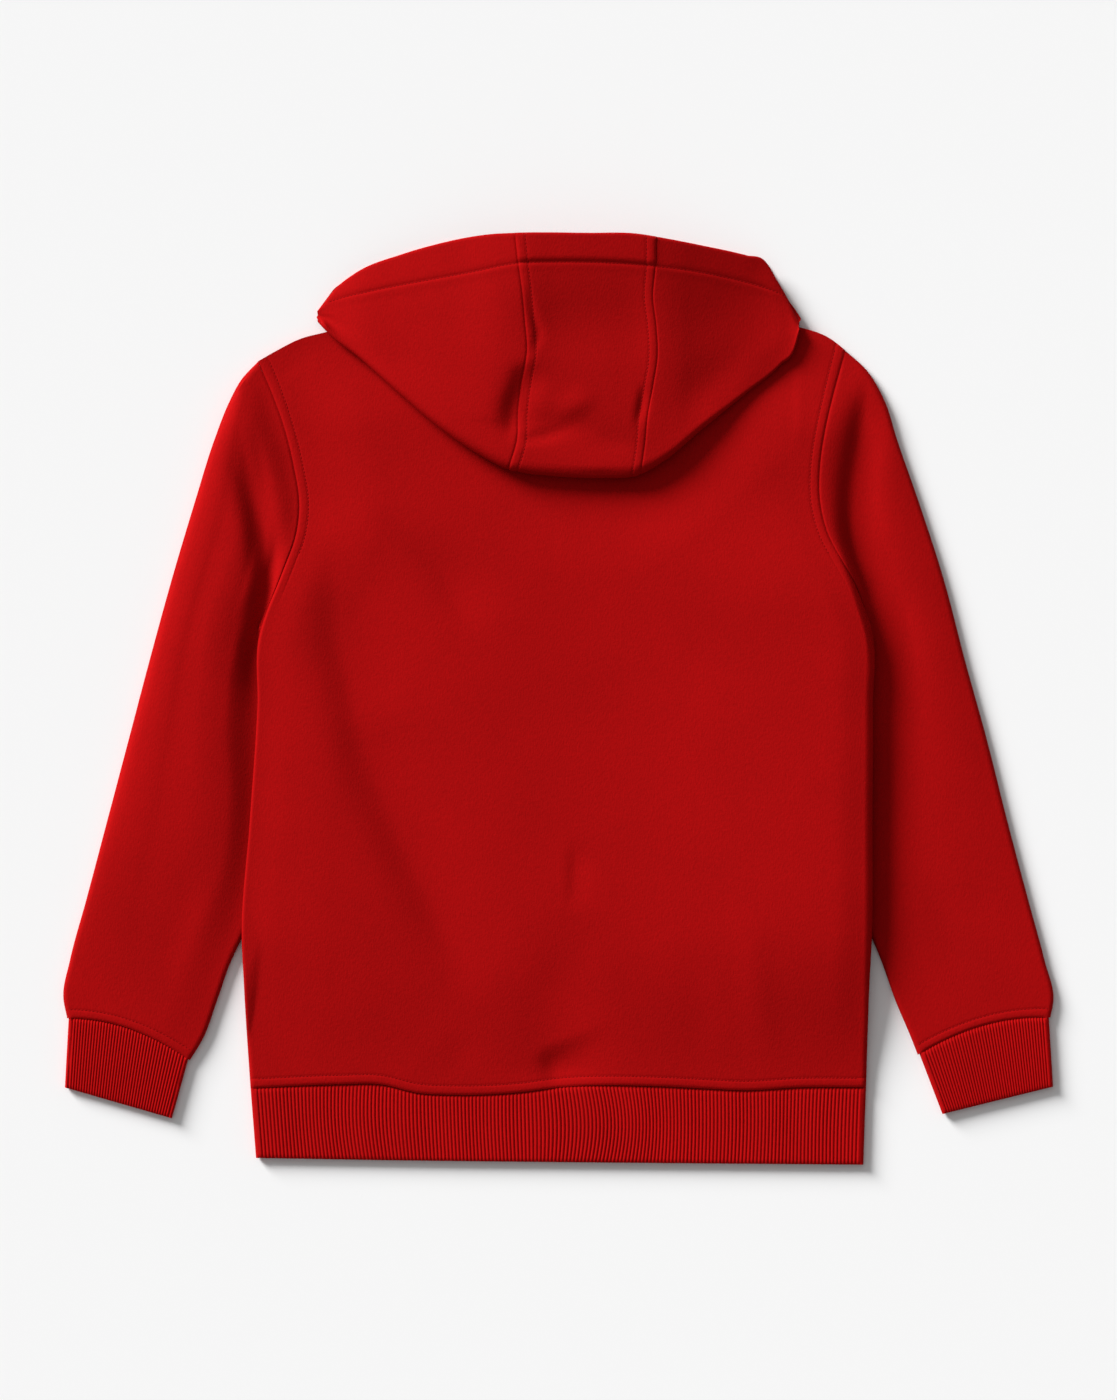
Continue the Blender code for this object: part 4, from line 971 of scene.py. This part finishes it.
def lower_points(centre, column):
    """Plan points of a column's lower layer, from the rolled edge to the floor rim."""
    rim = np.array(column.floor_rim)
    if column.neck is None:
        return part_way(centre, rim, TIP_ROWS)
    shoulder = np.array((column.neck, height_of(SHOULDER_LINE, column.neck)))
    if column.floor_neck is None:
        onward = rim - shoulder
        onward /= np.hypot(*onward)
        crossing = [shoulder + onward * step for step in SHOULDER_STEPS]
        return part_way(centre, crossing[0], LOWER_BACK_ROWS) + crossing \
            + part_way(crossing[-1], rim, (0.5,)) + [rim]
    back = np.array((column.neck, top_line(column.neck, BACK_NECK_DROP)))
    front = np.array((column.floor_neck,
                      top_line(column.floor_neck, FRONT_NECK_DROP) + 2 * SEAM_GAP))
    if abs(column.floor_neck) > NECK_HALF - NECK_END:
        low = [front + np.array((0.0, step)) for step in NECK_END_STEPS]
        low.append(np.array((column.floor_neck, NECK_POINT + SHOULDER_STEPS[-1])))
    else:
        low = part_way(front, rim, NECK_ROWS)
    return part_way(centre, back, LOWER_BACK_ROWS) + [back] + low \
        + part_way(low[-1], rim, (0.5,)) + [rim]


HOOD_LAP = 0.1             # the hood's pieces lap this far at their seams, so that none is open
HOOD_ROLL_ANGLES = np.radians((72, 54, 36, 18, 0, -18, -36, -54, -72))
RIM_PLACES = np.array((0.0, 0.3, 0.8, 1.5, 2.5, 4.0, 6.0, 9.0))        # of the rows at the rim
RIM_ROLL = (1.8, 0.8)      # run of the rim's rounding, and how much of it there is
SEAM_AT_RIM = 4.0          # in from the rim, over which a seam's dip begins
HOOD_FADE = (0.12, 0.04)   # shares of the way from fold to rim over which creases fade at each
CASING_PLACES = np.array((-8.0, -5.0, -3.0, -1.8, -1.0, -0.5, 0.0, 0.5, 1.0, 1.8, 3.0, 5.0, 8.0))
CASING_ROOM = 18.0         # a narrower casing has closer rows and less relief
CASING_RUN = 3.4           # how soon the cloth has come up to the casing's height
CASING_PUCKER = (0.3, 2.6, 2.4)    # rise below the stitching: height, place, width
CASING_PRESS = (0.28, 0.7)         # dip under the stitching: depth, width
STRIP_ROWS = 6
UPPER_ROWS = 48


def casing_shares_at(plan, length):
    """Each column's share, from fold to rim, where it crosses the casing's line."""
    casing = np.full(length.shape, 0.85)
    for _ in range(6):
        at = plan(casing[None, :])[0]
        off = at[:, 1] - height_of(CASING_LINE, at[:, 0])
        casing = np.clip(casing - off / length, 0.1, 0.97)
    return casing


def casing_relief(below, step):
    """Rise of the cloth at distances below the casing's stitching, and above it by a step."""
    pucker, place, width = CASING_PUCKER
    press, narrow = CASING_PRESS
    return pucker * bell(below - place, width) + step * smooth(-below / CASING_RUN) \
        - press * bell(below, narrow)


def hood_rows(plan, length, inset):
    """Shares of the rows from the rim down to the rolled edge, close together at the rim and
    the casing, with the casing's shares, its room and the row of its stitching.
    """
    casing = casing_shares_at(plan, length)
    room = np.minimum(1.0, (1.0 - casing) * length / CASING_ROOM)
    rim = 1.0 - RIM_PLACES[:, None] * room / length
    around = casing - CASING_PLACES[:, None] * room / length
    strip = np.linspace(0.0, 1.0, STRIP_ROWS)[1:-1, None]
    strip = rim[-1] + (around[0] - rim[-1]) * strip
    low = np.linspace(0.0, 1.0, UPPER_ROWS)[1:, None]
    low = around[-1] + (inset - around[-1]) * low
    stitched = len(rim) + len(strip) + int(np.argmin(np.abs(CASING_PLACES)))
    return np.concatenate((rim, strip, around, low)), casing, room, stitched


def lying_heights(x, row, begin):
    """How high the upper layer lies, from the rolled edge (row 0) to the rim (1)."""
    begin = np.broadcast_to(begin, x.shape)
    shaped = np.array([curve_value(HOOD_STATIONS, heights, x) for heights in HOOD_HEIGHTS])
    shaped = curve_value(HOOD_SHARES, np.concatenate((begin[None], shaped)), row)
    return begin + settings().hood_loft * (shaped - begin)


def rolled_edge(plan, centre, base, roll, inset):
    """Rows round the rolled edge, from the upper layer to the lower one."""
    outward = plan(np.zeros((1, 1)))[0] - plan(np.minimum(1.0, 2 * inset)[None, :])[0]
    outward /= np.linalg.norm(outward, axis=-1, keepdims=True)
    angle = HOOD_ROLL_ANGLES[:, None]
    rolled = centre + outward * (roll * np.cos(angle))[..., None]
    dent = trough(HOOD_CREASES, rolled[..., 0], rolled[..., 1]) * smooth(np.sin(angle))
    height = base + roll + roll * np.sin(angle) - dent
    return np.concatenate((rolled, height[..., None]), -1)


def hood_piece(name, across, columns, start, end, seams, casing_step, lower, keep, finish):
    """A piece of the hood from its opening's rim, over the top, round the rolled edge and back
    beneath to the neck.

    across gives the columns' shares between the side lines start and end; columns gives the
    fold, rim and roll at a share; seams the distance to a seam in millimetres and whether it
    has a stitched welt; casing_step how far the casing stands above the cloth below it; lower
    the grid of the lower layer; keep the cells that are cloth. Returned with the piece are its
    skin's points and normals, the row of the casing's stitching, and the last row that shows.
    """
    fold, rim, roll = columns(across)
    share_across = across[:, None]

    def plan(share):
        """Points at shares from the fold to the rim: (rows, columns) to plan points."""
        share = np.broadcast_to(share, share.shape[:1] + across.shape)[..., None]
        straight_start = start(0.0) * (1 - share) + start(1.0) * share
        straight_end = end(0.0) * (1 - share) + end(1.0) * share
        return (fold * (1 - share) + rim * share
                + (1 - share_across) * (start(share[..., 0]) - straight_start)
                + share_across * (end(share[..., 0]) - straight_end))

    length = np.linalg.norm(rim - fold, axis=-1)
    inset = roll / length
    shares, casing, room, casing_row = hood_rows(plan, length, inset)
    flat = plan(shares)
    x, y = flat[..., 0], flat[..., 1]
    base = hood_floor(fold[:, 0], fold[:, 1])
    row = np.clip((shares - inset) / (1.0 - inset), 0.0, 1.0)
    height = lying_heights(x, row, base + 2 * roll)
    height += casing_relief((casing - shares) * length, casing_step) * room
    height -= RIM_ROLL[1] * edge_fall((1.0 - shares) * length, RIM_ROLL[0])
    height -= trough(HOOD_CREASES, x, y) * smooth(row / HOOD_FADE[0]) \
        * smooth((1 - row) / HOOD_FADE[1])
    top = np.concatenate((flat, height[..., None]), -1)
    centre = plan(inset[None, :])[0]
    outer = np.concatenate((top, rolled_edge(plan, centre, base, roll, inset),
                            lower(centre, across)))
    normals = skin_normals(outer, False)
    if normals[:len(shares), :, 2].mean() < 0:
        normals = -normals
    sewn = sum(welt(distance) if stitched else -seam_dip(distance)
               for distance, stitched in seams)
    shown = np.ones(len(outer))
    shown[:len(RIM_PLACES)] = smooth(RIM_PLACES / SEAM_AT_RIM)
    shown[len(shares) + len(HOOD_ROLL_ANGLES):] = 0.0
    outer = outer + normals * (sewn * shown[:, None])[..., None]
    piece = shell(name, outer, outer - normals * WALL, finish,
                  keep=None if keep is None else keep(outer.shape))
    return piece, outer, normals, casing_row, len(shares) + len(HOOD_ROLL_ANGLES) - 2


def lower_grid(rows_per_column, marks, heights):
    """The lower layer's points between a few worked-out columns."""
    coarse = np.concatenate((rows_per_column, heights[..., None]), -1)      # (columns, rows, 3)

    def points(across):
        rows = [np.stack([np.interp(across, marks, coarse[:, row, axis]) for axis in range(3)],
                         -1) for row in range(coarse.shape[1])]
        return np.array(rows)
    return points


def hood_edges(fold_x, rim_x, lap):
    """Plan points of the rolled edge and of the rim at X places, each moved along by a lap."""
    return [np.stack((x + lap, height_of(line, x)), -1)
            for line, x in ((HOOD_LOWER, fold_x), (HOOD_RIM, rim_x))]


SIDE_REACH = 138.0         # of a hood side, from its seam to the tip
SIDE_COLUMNS = 46
GUSSET_WIDTH = 92.4
GUSSET_COLUMNS = 24
GUSSET_ROLL = 6.2
CASING_STEPS = (0.4, 1.4)  # how far the casing stands up, on the sides and on the gusset
TIP_PLACES = 4             # the casing's stitching starts this many columns in from the tip
STITCHES_START = 2         # and the gusset's, this many rows down from the rim


def hood_side(right, finish):
    columns = HOOD_RIGHT_COLUMNS if right else HOOD_LEFT_COLUMNS
    seam = gusset_seam(right)
    marks = np.linspace(0.0, 1.0, len(columns))
    lap = -HOOD_LAP if right else HOOD_LAP
    folds = np.array([(c.fold, height_of(HOOD_LOWER, c.fold)) for c in columns])
    rims = np.array([(c.rim, height_of(HOOD_RIM, c.rim)) for c in columns])
    folds[-1] = seam(0.0)
    rims[-1] = seam(1.0)

    def at(across):
        def value(values):
            return curve_value(marks, values, across)
        return *hood_edges(value(folds[:, 0]), value(rims[:, 0]), lap), \
            value([c.roll for c in columns])

    def lower(centres, across):
        plan = []
        heights = []
        for mark, column in zip(marks, columns):
            centre = np.array([np.interp(mark, across, centres[:, axis]) for axis in (0, 1)])
            points = lower_points(centre, column)
            if column.floor_neck is None:
                levels = [float(hood_floor(*point)) for point in points]
            else:                 # on the back as far as the nape, and on the floor beyond
                on_back = len(LOWER_BACK_ROWS) + 1
                levels = [HOOD_REST[0]] * on_back + [0.0] * (len(points) - on_back)
            plan.append(points)
            heights.append(levels)
        return lower_grid(np.array(plan), marks, np.array(heights))(across)

    near = 1.0 - EDGE_PLACES / SIDE_REACH
    across = np.concatenate((np.linspace(0.0, near[-1], SIDE_COLUMNS)[:-1], near[::-1]))

    def keep(shape):
        """No cloth between the nape and the front neckline."""
        mask = np.ones((shape[0] - 1, shape[1] - 1), bool)
        neck = shape[0] - len(TIP_ROWS) + len(LOWER_BACK_ROWS)
        middle = (across[1:] + across[:-1]) / 2 * (len(columns) - 1)
        mask[neck, middle > LAST_COLUMN_OVER_SHOULDER] = False
        slit = (middle > LAST_COLUMN_OVER_SHOULDER) & (middle < LAST_COLUMN_OVER_SHOULDER + 1)
        mask[neck:neck + 2, slit] = False
        return mask

    piece, outer, normals, casing, _ = hood_piece(
        f"hood_side_{SIDES[right]}_cloth", across, at, straight(folds[0], rims[0]), seam,
        [((1.0 - across) * SIDE_REACH, False)], CASING_STEPS[0], lower, keep, finish)
    return piece, [(outer[casing, TIP_PLACES:], normals[casing, TIP_PLACES:])]


def hood_centre(finish):
    near = EDGE_PLACES / GUSSET_WIDTH
    across = np.concatenate((near, np.linspace(near[-1], 1.0 - near[-1], GUSSET_COLUMNS)[1:-1],
                             1.0 - near[::-1]))

    def at(across):
        fold_x, rim_x = (GUSSET_LEFT[end] + (GUSSET_RIGHT[end] - GUSSET_LEFT[end]) * across
                         for end in (0, -1))
        lap = -HOOD_LAP * (1 - 2 * across)
        return *hood_edges(fold_x, rim_x, lap), np.full(across.shape, GUSSET_ROLL)

    def lower(centres, across):
        nape_x = NAPE_SEAMS[0] + (NAPE_SEAMS[1] - NAPE_SEAMS[0]) * across
        nape = np.stack((nape_x, top_line(nape_x, BACK_NECK_DROP)), -1)
        rows = []
        for share in (*LOWER_BACK_ROWS, 1.0):
            points = centres + (nape - centres) * share
            rows.append(np.concatenate((points, np.full((len(across), 1), HOOD_REST[0])), -1))
        return np.array(rows)

    seams = [(across * GUSSET_WIDTH, True), ((1.0 - across) * GUSSET_WIDTH, True)]
    piece, outer, normals, casing, last = hood_piece(
        "hood_centre_cloth", across, at, gusset_seam(0), gusset_seam(1), seams,
        CASING_STEPS[1], lower, None, finish)
    shown = slice(STITCHES_START, last)
    lines = [(outer[shown, place], normals[shown, place])
             for place in (STITCH_PLACE, len(across) - 1 - STITCH_PLACE)]
    return piece, lines + [(outer[casing], normals[casing])]


# Finishes

class Wire:
    """A shader socket that takes part in Python expressions through Math nodes."""

    def __init__(self, finish, socket):
        self.finish = finish
        self.socket = socket

    def math(self, operation, first, second):
        return self.finish.node("ShaderNodeMath", {"operation": operation},
                                {0: first, 1: second})

    def __add__(self, other):
        return self.math("ADD", self, other)

    def __sub__(self, other):
        return self.math("SUBTRACT", self, other)

    def __rsub__(self, other):
        return self.math("SUBTRACT", other, self)

    def __mul__(self, other):
        return self.math("MULTIPLY", self, other)

    __radd__ = __add__
    __rmul__ = __mul__


class Finish:
    """A procedural material that is put together with node()."""

    def __init__(self, name):
        self.material = bpy.data.materials.new(name)
        self.material.use_nodes = True
        self.tree = self.material.node_tree
        self.shader = self.tree.nodes["Principled BSDF"]

    def node(self, kind, options=None, inputs=None, output=0):
        """A node of that kind with its options set first, then its sockets given or linked."""
        made = self.tree.nodes.new(kind)
        for option, value in (options or {}).items():
            setattr(made, option, value)
        for name, value in (inputs or {}).items():
            self.give(made.inputs[name], value)
        return Wire(self, made.outputs[output])

    def give(self, socket, value):
        if isinstance(value, Wire):
            self.tree.links.new(value.socket, socket)
        else:
            socket.default_value = value

    def set(self, **inputs):
        for name, value in inputs.items():
            self.give(self.shader.inputs[name.replace("_", " ")], value)
        return self.material

    def place(self, scale=(1.0, 1.0, 1.0)):
        """Where a point lies on the garment, in metres, stretched by scale."""
        spot = self.node("ShaderNodeTexCoord", output="Object")
        return self.node("ShaderNodeMapping", None, {"Vector": spot, "Scale": scale})

    def noise(self, place, scale, detail=2.0, roughness=0.5):
        return self.node("ShaderNodeTexNoise", None, {
            "Vector": place, "Scale": scale, "Detail": detail, "Roughness": roughness})

    def blend(self, share, first, second):
        return self.node("ShaderNodeMix", {"data_type": "RGBA"},
                         {"Factor": share, 6: first, 7: second}, output=2)


def shade(colour, factor):
    return (*(min(1.0, part * factor) for part in colour), 1.0)


def cloth_finish(name, colour, grain_scale, grain_stretch, bump):
    """Brushed knit: soft mottling, a fine grain along the wales, and short lifted fibres."""
    finish = Finish(name)
    place = finish.place()
    wales = finish.place(grain_stretch)
    mottle = finish.noise(place, 16.0, 3.0)
    grain = finish.noise(wales, grain_scale, 2.0, 0.6)
    fibres = finish.noise(place, 420.0, 3.0, 0.65)
    tone = mottle * 0.30 + grain * 0.45 + fibres * 0.25
    base = finish.blend((tone - 0.28) * 2.2, shade(colour, 0.84), shade(colour, 1.16))
    relief = finish.node("ShaderNodeBump", None, {
        "Strength": bump, "Distance": 0.0006, "Height": grain * 0.6 + fibres * 0.4})
    return finish.set(Base_Color=base, Roughness=0.86 + (grain - 0.5) * 0.12, Normal=relief,
                      Sheen_Weight=settings().nap, Sheen_Roughness=0.45,
                      Sheen_Tint=shade(colour, 2.2), Specular_IOR_Level=0.03)


def shared(name, make):
    return bpy.data.materials.get(name) or make(name)


def fleece_finish():
    return shared("brushed_fleece", lambda name: cloth_finish(
        name, settings().fleece_colour, 900.0, (1.0, 0.45, 1.0), 0.45))


def rib_finish():
    return shared("ribbed_knit", lambda name: cloth_finish(
        name, settings().rib_colour, 1100.0, (1.0, 0.35, 1.0), 0.35))


def thread_finish():
    def make(name):
        finish = Finish(name)
        strands = finish.noise(finish.place(), 2600.0, 1.0)
        colour = settings().thread_colour
        base = finish.blend(strands, shade(colour, 0.8), shade(colour, 1.2))
        return finish.set(Base_Color=base, Roughness=0.7, Specular_IOR_Level=0.05)
    return shared("sewing_thread", make)


def floor_finish():
    finish = Finish("pale_floor")
    speck = finish.noise(finish.place(), 3.0, 1.0)
    colour = settings().floor_colour
    base = finish.blend(speck, shade(colour, 0.999), shade(colour, 1.0))
    return finish.set(Base_Color=base, Roughness=0.9, Specular_IOR_Level=0.0)


# Sizes and colours that a user would change

class HoodieSettings(bpy.types.PropertyGroup):
    """Sizes and colours of the hoodie and its stage."""

    stitch_length: FloatProperty(
        name="Stitch Length", description="Length of one stitch and its gap",
        default=0.0026, min=0.0015, max=0.006, subtype="DISTANCE", unit="LENGTH")
    thread_width: FloatProperty(
        name="Thread Width", description="Width of the sewing thread",
        default=0.00052, min=0.0003, max=0.0012, subtype="DISTANCE", unit="LENGTH")
    body_loft: FloatProperty(
        name="Body Loft", description="Air between the back and the front",
        default=0.008, min=0.0, max=0.012, subtype="DISTANCE", unit="LENGTH")
    edge_loft: FloatProperty(
        name="Side Fold Loft", description="Extra height of the side folds over the sleeves",
        default=0.0058, min=0.0, max=0.008, subtype="DISTANCE", unit="LENGTH")
    sleeve_loft: FloatProperty(
        name="Sleeve Loft", description="Air inside a sleeve",
        default=0.0084, min=0.0, max=0.014, subtype="DISTANCE", unit="LENGTH")
    hood_loft: FloatProperty(
        name="Hood Loft", description="Height of the hood's upper layer, as a share of its own",
        default=1.0, min=0.2, max=1.2)
    rib_depth: FloatProperty(
        name="Rib Depth", description="Height of a rib over the valley beside it",
        default=0.0009, min=0.0, max=0.0015, subtype="DISTANCE", unit="LENGTH")
    hem_rib_pitch: FloatProperty(
        name="Hem Rib Pitch", description="Distance between ribs on the hem band",
        default=0.0026, min=0.0015, max=0.006, subtype="DISTANCE", unit="LENGTH")
    cuff_rib_pitch: FloatProperty(
        name="Cuff Rib Pitch", description="Distance between ribs on the cuffs",
        default=0.0022, min=0.0015, max=0.006, subtype="DISTANCE", unit="LENGTH")
    nap: FloatProperty(
        name="Nap", description="How much light the short fibres catch",
        default=0.06, min=0.0, max=1.0, subtype="FACTOR")
    fleece_colour: FloatVectorProperty(
        name="Fleece", description="Colour of the brushed fleece", size=3, min=0.0, max=1.0,
        default=(0.345, 0.0026, 0.0030), subtype="COLOR")
    rib_colour: FloatVectorProperty(
        name="Rib Knit", description="Colour of the hem band and cuffs", size=3, min=0.0,
        max=1.0, default=(0.365, 0.0028, 0.0032), subtype="COLOR")
    thread_colour: FloatVectorProperty(
        name="Thread", description="Colour of the topstitching", size=3, min=0.0, max=1.0,
        default=(0.27, 0.0022, 0.0028), subtype="COLOR")
    floor_colour: FloatVectorProperty(
        name="Floor", description="Colour of the floor", size=3, min=0.0, max=1.0,
        default=(0.90, 0.90, 0.90), subtype="COLOR")


# Operators, in the order that main calls them

Cut = namedtuple("Cut", "width length area")


def lay(piece, node):
    """Hide the imported solid that a piece stands for."""
    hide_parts(node)


def sew(node, made):
    """Stitch a piece of fleece along the lines made with it, and lay it."""
    piece, lines = made
    seams = stitching(f"{node}_stitching", lines, thread_finish())
    lay(piece, node)


class HOODIE_OT_body(bpy.types.Operator):
    """Lay out the front and back panels with their stitching"""
    bl_idname = "hoodie.body"
    bl_label = "Body Panels"

    def execute(self, context):
        finish = fleece_finish()
        sew("front_panel", panel("front_panel_cloth", FRONT_NECK_DROP, COARSE_STEP, False, finish))
        sew("back_panel", panel("back_panel_cloth", BACK_NECK_DROP, EVEN_STEP, True, finish))
        return {"FINISHED"}


class HOODIE_OT_sleeves(bpy.types.Operator):
    """Lay out both sleeves with the stitching above their cuffs"""
    bl_idname = "hoodie.sleeves"
    bl_label = "Sleeves"

    def execute(self, context):
        for right, side in enumerate(SIDES):
            sew(f"sleeve_{side}", sleeve(right, fleece_finish()))
        return {"FINISHED"}


class HOODIE_OT_rib_bands(bpy.types.Operator):
    """Knit the hem band and both cuffs"""
    bl_idname = "hoodie.rib_bands"
    bl_label = "Rib Bands"

    def execute(self, context):
        lay(hem_band(), "hem_band")
        for right, side in enumerate(SIDES):
            lay(cuff(right), f"cuff_{side}")
        return {"FINISHED"}


class HOODIE_OT_hood(bpy.types.Operator):
    """Lay the hood over the back: two sides and the centre between them"""
    bl_idname = "hoodie.hood"
    bl_label = "Hood"

    def execute(self, context):
        finish = fleece_finish()
        for right, side in enumerate(SIDES):
            sew(f"hood_side_{side}", hood_side(right, finish))
        sew("hood_centre", hood_centre(finish))
        return {"FINISHED"}


# Stage

CAMERA_LENS = 180.0
SENSOR = 36.0
SHOWN_HEIGHT = 0.98       # metres of floor from the top of the picture to the bottom
KEY = (69.0, 137.0, 6.2, 24.0)         # tilt from overhead, bearing, strength, softness
TOP = (30.0, 130.0, 0.35, 70.0)
SKY = 0.225


def sun(name, tilt, bearing, strength, softness):
    """A soft light that reaches the whole floor evenly, from a bearing counted from +X."""
    lamp = bpy.data.lights.new(name, "SUN")
    lamp.energy = strength
    lamp.angle = math.radians(softness)
    light = bpy.data.objects.new(name, lamp)
    toward = Vector((math.cos(math.radians(bearing)) * math.sin(math.radians(tilt)),
                     math.sin(math.radians(bearing)) * math.sin(math.radians(tilt)),
                     math.cos(math.radians(tilt))))
    light.rotation_mode = "QUATERNION"
    light.rotation_quaternion = toward.to_track_quat("Z", "Y")
    bpy.context.scene.collection.objects.link(light)


class HOODIE_OT_stage(bpy.types.Operator):
    """Set out the floor, the soft studio light and the camera overhead"""
    bl_idname = "hoodie.stage"
    bl_label = "Stage"

    def execute(self, context):
        scene = context.scene
        bpy.ops.mesh.primitive_plane_add(size=12.0, location=(0.0, 0.0, -0.0002))
        floor = context.active_object
        floor.name = "floor"
        floor.data.materials.append(floor_finish())
        sun("key_light", *KEY)
        sun("top_light", *TOP)
        world = bpy.data.worlds.new("soft_room")
        world.use_nodes = True
        world.node_tree.nodes["Background"].inputs["Color"].default_value = (1, 1, 1, 1)
        world.node_tree.nodes["Background"].inputs["Strength"].default_value = SKY
        scene.world = world
        scene.view_settings.view_transform = "Standard"
        lens = bpy.data.cameras.new("overhead")
        lens.lens = CAMERA_LENS
        lens.sensor_width = SENSOR
        camera = bpy.data.objects.new("overhead", lens)
        camera.location = (0.0, 0.0, SHOWN_HEIGHT * CAMERA_LENS / SENSOR)
        scene.collection.objects.link(camera)
        scene.camera = camera
        return {"FINISHED"}


class HOODIE_PT_panel(bpy.types.Panel):
    """Sizes, colours and pieces of the hoodie"""
    bl_idname = "HOODIE_PT_panel"
    bl_label = "Hoodie"
    bl_space_type = "VIEW_3D"
    bl_region_type = "UI"
    bl_category = "Hoodie"

    def draw(self, context):
        column = self.layout.column()
        for name in HoodieSettings.__annotations__:
            column.prop(context.scene.hoodie, name)
        for operator in OPERATORS:
            column.operator(operator.bl_idname)


OPERATORS = (HOODIE_OT_sleeves, HOODIE_OT_body, HOODIE_OT_rib_bands, HOODIE_OT_hood,
             HOODIE_OT_stage)
CLASSES = (HoodieSettings, *OPERATORS, HOODIE_PT_panel)


def register():
    for item in CLASSES:
        bpy.utils.register_class(item)
    bpy.types.Scene.hoodie = PointerProperty(type=HoodieSettings)


def unregister():
    del bpy.types.Scene.hoodie
    for item in reversed(CLASSES):
        bpy.utils.unregister_class(item)


def main():
    register()
    bpy.ops.hoodie.sleeves()
    bpy.ops.hoodie.body()
    bpy.ops.hoodie.rib_bands()
    bpy.ops.hoodie.hood()
    bpy.ops.hoodie.stage()


if __name__ == "__main__":
    main()
